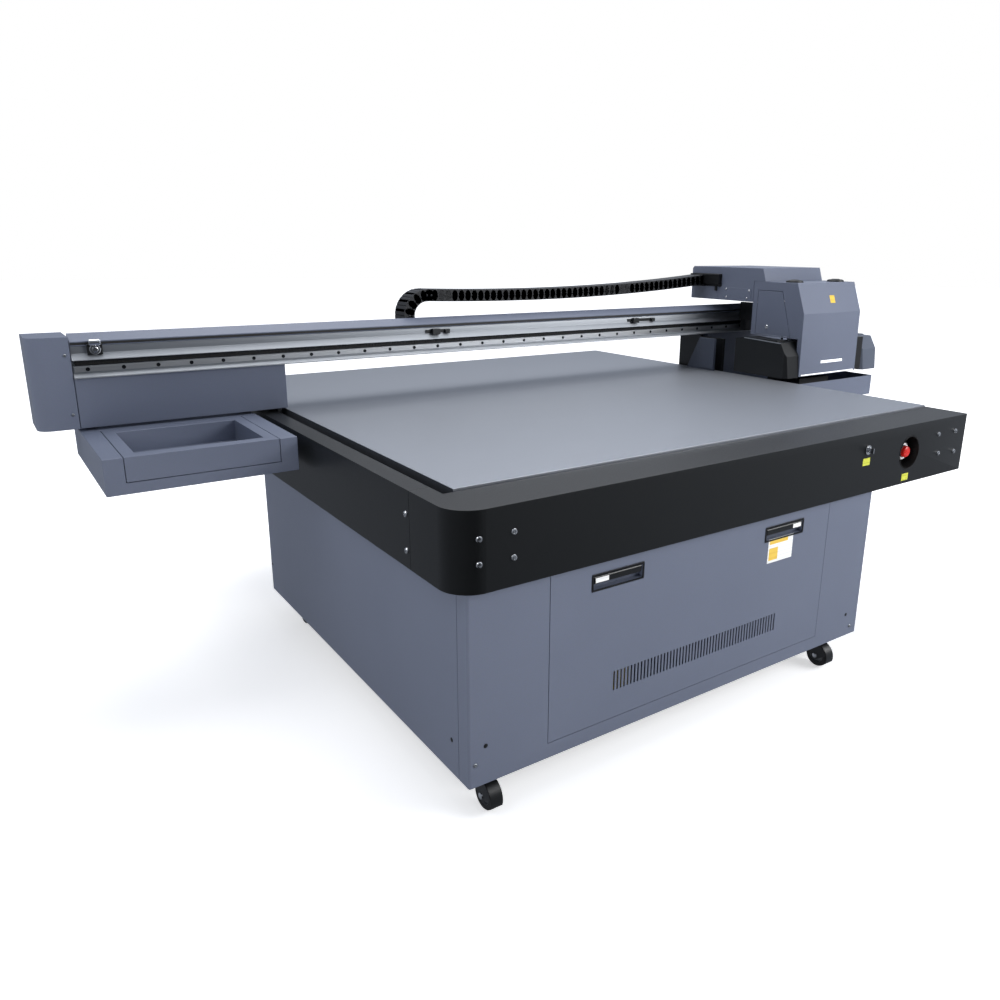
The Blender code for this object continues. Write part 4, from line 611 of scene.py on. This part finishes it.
# ---------------------------------------------------------------- vacuum bed and its rails
# The bed is one machined aluminium plate, bead blasted and clear anodised, so it is pale and
# satin with a faint lengthwise grain. The rails beside it are ground bearing steel.
bed_anodised = metal("bead_blasted_anodised_aluminium", "A3A7AF", 0.46, (240, 9, 60), 0.01, 0.04)
folded("bed_plate", bed_anodised, "chassis", "bed_aluminium", 0.0014)
ground_steel = metal("ground_bearing_steel", "C6C8CA", 0.40, (200, 200, 4), 0.01)
coat(ground_steel, "y_rail_left", "y_rail_right")

# ---------------------------------------------------------------- casters
# Swivel casters: a pressed steel fork with a hood, painted black, a ball race under the plate,
# a polyurethane tyre on a grey nylon hub, and a chromed axle cap on each side.
caster_black = painted("caster_black_enamel", "17181A", "121314", 0.38)
tyre_rubber = moulded("polyurethane_tyre", "1A1A1B", 0.6, 8.0, 0.1)
hub_nylon = moulded("hub_grey_nylon", "4A4D51", 0.5)


def arc(centre, radius, start, end, step=9):
    """(y, z) points round a centre, from start degrees up to end."""
    angles = [math.radians(a) for a in range(start, end, step)]
    return [(centre.y + radius * math.cos(a), centre.z + radius * math.sin(a)) for a in angles]


for row in ("front", "back"):
    for side in ("left", "right"):
        name = f"{row}_{side}"
        wheel_low, wheel_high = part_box(f"caster_wheel_{name}")
        fork_low, fork_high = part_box(f"caster_fork_{name}")
        axle = (wheel_low + wheel_high) / 2
        radius, half = (wheel_high.z - wheel_low.z) / 2, (wheel_high.x - wheel_low.x) / 2
        pivot_y = fork_high.y - 0.036
        top = fork_high.z
        bm = bmesh.new()
        lathe(bm, [(0, 0), (0.035, 0), (0.035, -0.004), (0.028, -0.005), (0.028, -0.011), (0, -0.011)],
              (axle.x, pivot_y, top), (0, 0, 1), 28)
        hood_radius = radius + 0.0065
        hood = arc(axle, hood_radius, 38, 201) + arc(axle, radius + 0.0035, 200, 37, -9)
        extrude(bm, hood, axle.x - half - 0.006, axle.x + half + 0.006, "x")
        for inward, outward in ((half + 0.0025, half + 0.006), (-half - 0.006, -half - 0.0025)):
            cheek = arc(axle, hood_radius, 38, 172)
            cheek += [(axle.y - 0.018, axle.z - 0.008), (axle.y - 0.009, axle.z - 0.017),
                      (axle.y + 0.009, axle.z - 0.017), (axle.y + 0.020, axle.z - 0.004)]
            extrude(bm, cheek, axle.x + inward, axle.x + outward, "x")
        fork = shaped(f"caster_hood_{name}", bm, 0.0008)
        fitted(fork, caster_black, f"caster_{name}", "black_paint", f"caster_fork_{name}")
        for way in (-1, 1):
            bm = bmesh.new()
            lathe(bm, [(0, 0.0065), (0.006, 0.006), (0.0105, 0.0035), (0.0115, 0), (0, 0)],
                  (axle.x + way * (half + 0.006), axle.y, axle.z), (way, 0, 0), 20)
            fitted(shaped(f"axle_cap_{name}_{'right' if way > 0 else 'left'}", bm), chrome,
                   f"caster_{name}", "chrome")
        bm = bmesh.new()
        lathe(bm, [(radius * 0.66, -half * 0.92), (radius * 0.90, -half), (radius * 0.975, -half * 0.80),
                   (radius, -half * 0.45), (radius, half * 0.45), (radius * 0.975, half * 0.80),
                   (radius * 0.90, half), (radius * 0.66, half * 0.92)],
              (axle.x, axle.y, axle.z), (1, 0, 0), 44, loop=True)
        fitted(shaped(f"tyre_{name}", bm), tyre_rubber, f"wheel_{name}", "black_rubber",
               f"caster_wheel_{name}")
        bm = bmesh.new()
        rim, web = radius * 0.655, radius * 0.58
        lathe(bm, [(0.0066, -half), (0.013, -half), (0.016, -half * 0.45), (web, -half * 0.45),
                   (rim, -half * 0.88), (rim, half * 0.88), (web, half * 0.45),
                   (0.016, half * 0.45), (0.013, half), (0.0066, half)],
              (axle.x, axle.y, axle.z), (1, 0, 0), 36, loop=True)
        fitted(shaped(f"hub_{name}", bm), hub_nylon, f"wheel_{name}", "black_rubber")

# ---------------------------------------------------------------- gantry beam
# An extruded aluminium beam with a stepped front web, mill finished, with long die lines. A
# bolted steel guide strip runs on its lower step, a toothed belt in its groove, and a folded
# cover on top.
die_drawn = metal("extruded_mill_aluminium", "B9BDC2", 0.56, (900, 5, 5), 0.02)
folded("x_beam", die_drawn, "gantry", "beam_aluminium", 0.0010, 2)
folded("x_guide_rail", ground_steel, "gantry", "rail_steel", 0.0008)
folded("beam_cover", blue_grey, "gantry", "blue_grey_paint", 0.0010)
beam_low, beam_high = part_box("x_beam")
belt_rubber = moulded("belt_neoprene", "141516", 0.6)
along_path, given = tree_with("pieces_along_path", Piece="Object", Count="Int", Finish="Material")
line = add(along_path, "GeometryNodeMeshToCurve", {"Mesh": given.outputs["Geometry"]})
marks = add(along_path, "GeometryNodeCurveToPoints", {"Curve": line.outputs["Curve"],
                                                      "Count": given.outputs["Count"]}, mode="COUNT")
turned = add(along_path, "FunctionNodeAlignRotationToVector", {"Vector": marks.outputs["Tangent"]},
             axis="X", pivot_axis="Y")
placed_in(along_path, given, marks.outputs["Points"], turned)

belt_y = beam_low.y + 0.028
belt_z = 1.2685
TOOTH_PITCH, BOLT_PITCH = 0.014, 0.120    # the belt's teeth are drawn coarser than the real 5 mm
bm = bmesh.new()
block(bm, (beam_low.x + 0.010, belt_y, belt_z - 0.0085),
      (beam_high.x - 0.010, belt_y + 0.0022, belt_z + 0.0085))
fitted(shaped("drive_belt", bm), belt_rubber, "gantry", "black_rubber")
tooth = bmesh.new()
block(tooth, (-0.0035, -0.0022, -0.008), (0.0035, 0.0002, 0.008))
ends = [(beam_low.x + 0.020, belt_y, belt_z), (beam_high.x - 0.020, belt_y, belt_z)]
teeth = repeated("drive_belt_teeth", along_path, shaped("tooth_pattern", tooth), ends, edges=[(0, 1)],
                 Count=int((ends[1][0] - ends[0][0]) / TOOTH_PITCH), Finish=belt_rubber)
fitted(teeth, belt_rubber, "gantry", "black_rubber")

# A black rubber lip hangs from the cover's front edge and keeps dust off the beam's face.
cover_low, cover_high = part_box("beam_cover")
bm = bmesh.new()
lip_top = cover_high.z - 0.030
extrude(bm, [(cover_low.y - 0.0022, lip_top), (cover_low.y - 0.0003, lip_top),
             (cover_low.y - 0.0003, beam_high.z - 0.004), (cover_low.y - 0.0035, beam_high.z - 0.004)],
        beam_low.x + 0.001, beam_high.x - 0.001, "x")
fitted(shaped("cover_lip", bm, 0.0005, 1), belt_rubber, "gantry", "black_rubber")

rail_low, rail_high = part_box("x_guide_rail")
black_oxide = metal("black_oxide_steel", "26282B", 0.45, (4, 4, 4), 0.02)
bolt = bmesh.new()
lathe(bolt, [(0, 0.0004), (0.0026, 0.0004), (0.0030, 0.0014), (0.0068, 0.0014), (0.0074, 0.0008),
             (0.0074, 0), (0, 0)], (0, 0, 0), (0, -1, 0), 16)
rail_z = (rail_low.z + rail_high.z) / 2
ends = [(rail_low.x + 0.045, rail_low.y, rail_z), (rail_high.x - 0.045, rail_low.y, rail_z)]
bolts = repeated("guide_rail_bolts", along_path, shaped("bolt_pattern", bolt), ends, edges=[(0, 1)],
                 Count=int((ends[1][0] - ends[0][0]) / BOLT_PITCH) + 1, Finish=black_oxide)
fitted(bolts, black_oxide, "gantry", "black_paint")

# End stop and limit sensors on the beam's face: a chromed bumper over a round boss in a clamp at
# the left end, two small black sensor housings on their brackets, and a block at the right end.
bumper = spot(-0.650, 0, 1.330)
face = beam_low.y + 0.020
bm = bmesh.new()
block(bm, (bumper.x - 0.026, face - 0.014, 1.298), (bumper.x + 0.026, face, 1.338))
fitted(shaped("bumper_clamp", bm, 0.002), caster_black, "gantry", "black_paint")
bm = bmesh.new()
lathe(bm, [(0, 0), (0.010, 0), (0.0125, 0.003), (0.0125, 0.036), (0.010, 0.040), (0, 0.040)],
      (bumper.x - 0.020, face - 0.016, 1.344), (1, 0, 0), 20)
fitted(shaped("bumper", bm), chrome, "gantry", "chrome")
bm = bmesh.new()
lathe(bm, [(0, 0.010), (0.008, 0.010), (0.011, 0.004), (0.017, 0.004), (0.019, 0.002), (0.019, 0), (0, 0)],
      (bumper.x, face - 0.014, 1.318), (0, -1, 0), 28)
fitted(shaped("bumper_dial", bm), chrome, "gantry", "chrome")
for i, (x0, x1) in enumerate(((0.730, 0.860), (1.970, 2.170))):
    a, b = spot(x0, 0, 0), spot(x1, 0, 0)
    bm = bmesh.new()
    block(bm, (a.x, face - 0.004, 1.306), (b.x, face, 1.322))
    block(bm, (a.x + 0.030, face - 0.020, 1.300), (a.x + 0.070, face - 0.003, 1.326))
    block(bm, (b.x - 0.030, face - 0.014, 1.303), (b.x - 0.006, face - 0.003, 1.320))
    fitted(shaped(f"limit_sensor_{i + 1}", bm, 0.0012), black_nylon, "gantry", "black_plastic")

stop_end = spot(2.900, 0, 0)
bm = bmesh.new()
block(bm, (stop_end.x - 0.022, face - 0.012, 1.283), (stop_end.x + 0.050, face, 1.334))
fitted(shaped("beam_end_block", bm, 0.0015), caster_black, "gantry", "black_paint")
screwed("beam_end_screw", 0.006, [(stop_end.x, face - 0.012, 1.300)], [(0, -1, 0)], zinc, "gantry",
        "zinc_steel")

# ---------------------------------------------------------------- gantry housings and legs
# Folded steel housings in the cabinet's blue grey on the beam's two ends and under its left end,
# with plate legs that hang down to the bearing blocks.
for node in ("gantry_cover_left", "gantry_cover_right", "gantry_panel_left", "station_housing"):
    folded(node, blue_grey, "gantry", "blue_grey_paint", 0.0020)
folded("leg_left", frame_enamel, "gantry", "frame_steel", 0.0015)
folded("leg_right", black_coat, "gantry", "black_paint", 0.0015)
cover_low, cover_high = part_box("gantry_cover_left")
points = [Vector((cover_high.x - 0.018, cover_low.y, z)) for z in (1.300, 1.080)]
screwed("end_cover_screws", 0.006, points, [(0, -1, 0)] * len(points), zinc, "gantry", "zinc_steel")
# A trapezoid gusset in two folds of blue grey sheet stiffens the right leg's inner face; its darker blue grey
# is painted shade.
gusset_shaded_grey = painted("powder_coat_blue_grey_painted_shade", "3F4553", "3A404D", 0.44)
leg_low, leg_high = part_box("leg_right")
bm = bmesh.new()
GUSSET_FOLDS = ((((1.437, 1.200), (1.560, 1.200), (1.655, 1.010), (1.437, 1.010)), 0.010, 0.001),
                (((1.437, 1.203), (1.545, 1.196), (1.545, 1.030), (1.437, 1.030)), 0.018, 0.008))
for outline, out, back in GUSSET_FOLDS:
    fold = [(spot(0, y, 0).y, z) for y, z in outline]
    extrude(bm, fold, leg_low.x - out, leg_low.x - back, "x")
fitted(shaped("leg_gusset", bm, 0.0020), gusset_shaded_grey, "gantry", "blue_grey_paint")
silicone = moulded("cap_silicone_black", "202123", 0.7)
folded("capping_station", silicone, "gantry", "black_plastic", 0.0015)

# ---------------------------------------------------------------- waste tray
# A shallow steel drawer with a broad folded rim, between two hollow arms of its box.
folded("tray_box", blue_grey, "gantry", "blue_grey_paint", 0.0022)
folded("tray_drawer", blue_grey, "tray_drawer", "blue_grey_paint", 0.0022)

# ---------------------------------------------------------------- cable chain
# Moulded nylon energy chain: side plates pinned end to end, with snap-on bars across each link,
# lying in a black steel trough and rolling over to a gently sagging upper run.
folded("chain_trough", black_coat, "gantry", "black_paint", 0.0008)
loop_low, loop_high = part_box("chain_loop")
run_low, run_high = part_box("chain_upper_run")
chain_nylon = moulded("chain_black_nylon", "191B1F", 0.40, 6.0, 0.05)
thick, wide = 0.056, loop_high.y - loop_low.y
radius = (loop_high.z - loop_low.z - thick) / 2
bend_x = loop_low.x + radius + thick / 2
middle_y = (loop_low.y + loop_high.y) / 2
PITCH = 0.036


def chain_link():
    """One link: two side plates with round ends, four crossbars and a pin boss on each plate."""
    bm = bmesh.new()
    rise, plate = thick / 2, 0.006
    ends = [(way * (0.5 * PITCH + 0.62 * rise * math.cos(a)), 0.96 * rise * math.sin(a))
            for way in (1, -1) for a in [way * math.radians(d) for d in range(-75, 76, 25)]]
    for way in (-1, 1):
        outer, inner = way * wide / 2, way * (wide / 2 - plate)
        extrude(bm, ends, min(outer, inner), max(outer, inner), "y")
        lathe(bm, [(0, 0.0012), (0.0045, 0.0012), (0.0055, 0), (0, 0)], (0, outer, 0), (0, way, 0), 10)
    for way in (-1, 1):
        for x in (-0.25 * PITCH, 0.25 * PITCH):
            block(bm, (x - 0.22 * PITCH, -wide / 2 + 0.001, way * rise - 0.005 * (way > 0)),
                  (x + 0.22 * PITCH, wide / 2 - 0.001, way * rise + 0.005 * (way < 0)))
    return shaped("link_pattern", bm, 0.0010, 1)


lower_z = loop_low.z + thick / 2
turns = [math.radians(a) for a in range(0, 181, 6)]
path = [(bend_x - radius * math.sin(a), middle_y, lower_z + radius + radius * math.cos(a)) for a in turns]
lower_end = loop_high.x - 0.02
path.append((lower_end, middle_y, lower_z))
length = math.pi * radius + lower_end - bend_x
links = repeated("chain_links_lower", along_path, chain_link(), path,
                 edges=[(i, i + 1) for i in range(len(path) - 1)], Count=round(length / PITCH) + 1,
                 Finish=chain_nylon)
fitted(links, chain_nylon, "chain_loop", "black_plastic", "chain_loop")
RISE, SAG, END, STEPS = 0.046, 0.028, 0.022, 32
length = run_high.x - run_low.x - 2 * END
path = []
for i in range(STEPS + 1):
    s = i / STEPS
    x = run_low.x + END + length * s
    path.append((x, middle_y, loop_high.z - thick / 2 + RISE * s - 4 * SAG * s * (1 - s)))
links = repeated("chain_links_upper", along_path, chain_link(), path,
                 edges=[(i, i + 1) for i in range(len(path) - 1)], Count=round(length / PITCH) + 1,
                 Finish=chain_nylon)
fitted(links, chain_nylon, "carriage", "black_plastic", "chain_upper_run")
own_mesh(links)

# ---------------------------------------------------------------- carriage hood
# Folded steel hood in blue grey over the print heads, with a hinged service door on its left
# side and a flanged box on top that bridges the beam. It is screwed to a black machined plate.
folded("carriage_housing", blue_grey, "carriage", "blue_grey_paint", 0.0030, 3, 10)
folded("top_box", blue_grey, "carriage", "blue_grey_paint", 0.0100, 4, 60)
folded("service_door", blue_grey, "service_door", "blue_grey_paint", 0.0010)
folded("carriage_backplate", painted("plate_black_anodised", "1E2023", "17191B", 0.4), "carriage",
       "black_paint", 0.0015)
folded("head_unit", die_drawn, "head_unit", "beam_aluminium", 0.0012)
hood_low, hood_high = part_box("carriage_housing")
top_low, top_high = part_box("top_box")
bm = bmesh.new()
side = hood_low.x
lock = Vector((side, spot(0, 1.203, 0).y, 1.280))
lathe(bm, [(0, 0.0035), (0.0065, 0.0035), (0.0100, 0.0025), (0.0115, 0.0010), (0.0115, 0), (0, 0)],
      lock, (-1, 0, 0), 28)
block(bm, (side - 0.0050, lock.y - 0.0012, lock.z - 0.005), (side - 0.0030, lock.y + 0.0012, lock.z + 0.005))
fitted(shaped("service_door_lock", bm), chrome, "service_door", "chrome")
bm = bmesh.new()
block(bm, (side - 0.0022, spot(0, 1.330, 0).y, top_low.z + 0.002),
      (side - 0.0002, spot(0, 1.570, 0).y, 1.482))
fitted(shaped("top_box_flange", bm, 0.0008), blue_grey, "carriage", "blue_grey_paint")
FLANGE_SCREWS = ((1.515, 1.472), (1.510, 1.428), (1.345, 1.470), (1.358, 1.428))
points = [Vector((side - 0.0022, spot(0, y, 0).y, z)) for y, z in FLANGE_SCREWS]
ways = [(-1, 0, 0)] * len(points)
points += [Vector((hood_high.x, p.y, p.z)) for p in points]
ways += [(1, 0, 0)] * len(ways)
screwed("top_box_screws", 0.006, points, ways, chrome, "carriage", "chrome")

# Two low black fan covers stand on the hood's top, each a moulding that rises in two steps.
for i, (x, y) in enumerate(((2.715, 1.100), (3.050, 1.085))):
    base = spot(x, y, hood_high.z)
    bm = bmesh.new()
    lathe(bm, [(0, 0.0150), (0.020, 0.0150), (0.024, 0.0125), (0.036, 0.0120), (0.044, 0.0080),
               (0.046, 0.0020), (0.046, 0.0002), (0, 0.0002)], base, (0, 0, 1), 36)
    fitted(shaped(f"fan_cover_{i + 1}", bm, 0.0006, 1, 40), black_nylon, "carriage", "black_plastic")

# The chain's end bracket is bent black steel, screwed on the box's side.
run_mid = run_high.z - thick / 2
near, far = spot(0, 1.552, 0).y, middle_y + wide / 2 + 0.006
chain_front = middle_y - wide / 2
bm = bmesh.new()
block(bm, (side - 0.045, chain_front - 0.006, run_mid - 0.036), (side - 0.0005, far, run_mid - 0.030))
block(bm, (side - 0.006, near, run_mid - 0.036), (side - 0.0005, far, run_mid + 0.036))
block(bm, (side - 0.030, near, run_mid + 0.026), (side - 0.005, far, run_mid + 0.034))
block(bm, (side - 0.026, near + 0.004, run_mid - 0.022), (side - 0.005, chain_front + 0.004, run_mid + 0.028))
block(bm, (side - 0.010, near + 0.030, run_mid - 0.060), (side - 0.0005, near + 0.046, run_mid - 0.034))
fitted(shaped("chain_bracket", bm, 0.0015), caster_black, "carriage", "black_paint")

# ---------------------------------------------------------------- lamps and lights on the carriage
# UV lamp modules: painted covers over a quartz-windowed array of emitters. The left one's black coat is
# painted shade. A black sleeve covers the right one's arm as painted shade in the gap by the hood, and a
# bright zinc strip along the left one's top edge is a painted highlight. The hood's front has an acrylic
# light strip, a glowing edge above the bed that is a painted highlight, and a blank amber badge.
lamp_grey = painted("lamp_cover_grey", "565D6B", "505765", 0.42)
# The left module matches the right one but is coated satin black: painted shade for its side in shadow.
folded("uv_lamp_left", black_coat, "carriage", "black_paint", 0.0020)
folded("uv_lamp_right", lamp_grey, "carriage", "lamp_grey", 0.0020)
low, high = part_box("uv_lamp_right")
# The black sleeve fills the gap between the hood and the right module: painted shade.
bm = bmesh.new()
block(bm, (hood_high.x + 0.001, low.y + 0.008, low.z + 0.008),
      (hood_high.x + 0.069, high.y - 0.012, high.z - 0.006))
fitted(shaped("lamp_arm_bellows", bm, 0.0020), black_nylon, "carriage", "black_plastic")
low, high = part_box("uv_lamp_left")
# A bright zinc strip along the left module's top edge: a painted highlight.
bm = bmesh.new()
edge = [(low.y + 0.050, high.z - 0.010), (high.y - 0.060, high.z - 0.0002),
        (high.y - 0.060, high.z - 0.0045), (low.y + 0.050, high.z - 0.0145)]
extrude(bm, edge, low.x - 0.0016, low.x - 0.0002, "x")
fitted(shaped("lamp_edge_strip", bm), zinc, "carriage", "zinc_steel")
quartz, tree, shader = new_material("quartz_lamp_window")
where = add(tree, "ShaderNodeTexCoord").outputs["Object"]
cells = add(tree, "ShaderNodeTexVoronoi", {"Vector": where, "Scale": 120.0})
tone = mixed(tree, cells.outputs["Distance"], srgb("8C74C8"), srgb("2A2440"))
tree.links.new(tone, shader.inputs["Base Color"])
shader.inputs["Roughness"].default_value = 0.12
shader.inputs["IOR"].default_value = 1.46
MODULE_HALF = 0.067    # half of the right module's width, without its arm
for side in ("left", "right"):
    low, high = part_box(f"uv_lamp_{side}")
    x = (low.x + high.x) / 2 if side == "left" else high.x - MODULE_HALF
    bm = bmesh.new()
    block(bm, (x - 0.030, low.y + 0.100, low.z + 0.012), (x + 0.030, high.y - 0.060, low.z + 0.0195))
    fitted(shaped(f"lamp_window_{side}", bm, 0.001), quartz, "carriage", "white_diffuser")
acrylic, tree, shader = new_material("opal_acrylic")
where = add(tree, "ShaderNodeTexCoord").outputs["Object"]
glow = add(tree, "ShaderNodeTexNoise", {"Vector": where, "Scale": 30.0})
tone = mixed(tree, glow.outputs["Fac"], srgb("E9EEF2"), srgb("FFFFFF"))
tree.links.new(tone, shader.inputs["Base Color"])
tree.links.new(tone, shader.inputs["Emission Color"])
shader.inputs["Emission Strength"].default_value = 0.45
shader.inputs["Roughness"].default_value = 0.3
shader.inputs["IOR"].default_value = 1.49
folded("status_light", acrylic, "carriage", "white_diffuser", 0.0005)
# A plain amber badge with no mark on it, stuck on the hood's sloping upper front.
slope = (hood_low.y + 0.004, hood_high.z - 0.158), (hood_low.y + 0.062, hood_high.z)
lean = Vector((0, slope[1][0] - slope[0][0], slope[1][1] - slope[0][1])).normalized()
out = Vector((0, -lean.z, lean.y))
bm = bmesh.new()
block(bm, (-0.021, -0.0006, -0.021), (0.021, -0.0001, 0.021))
centre = Vector((spot(2.905, 0, 0).x, 0, 1.437))
centre.y = slope[0][0] + (centre.z - slope[0][1]) * lean.y / lean.z
turn = Matrix(((1, 0, 0), (0, -out.y, lean.y), (0, -out.z, lean.z))).to_4x4()
bmesh.ops.transform(bm, matrix=Matrix.Translation(centre) @ turn, verts=bm.verts)
fitted(shaped("hood_badge", bm, 0.0002, 1), yellow_vinyl, "carriage", "white_diffuser")
# A glowing acrylic strip along the hood's lower front edge: a painted highlight.
bm = bmesh.new()
block(bm, (hood_low.x + 0.016, hood_low.y - 0.0035, hood_low.z + 0.003),
      (hood_high.x - 0.016, hood_low.y - 0.0003, hood_low.z + 0.010))
fitted(shaped("nose_light_strip", bm, 0.0008), acrylic, "carriage", "white_diffuser")

# ---------------------------------------------------------------- finish
low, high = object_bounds()
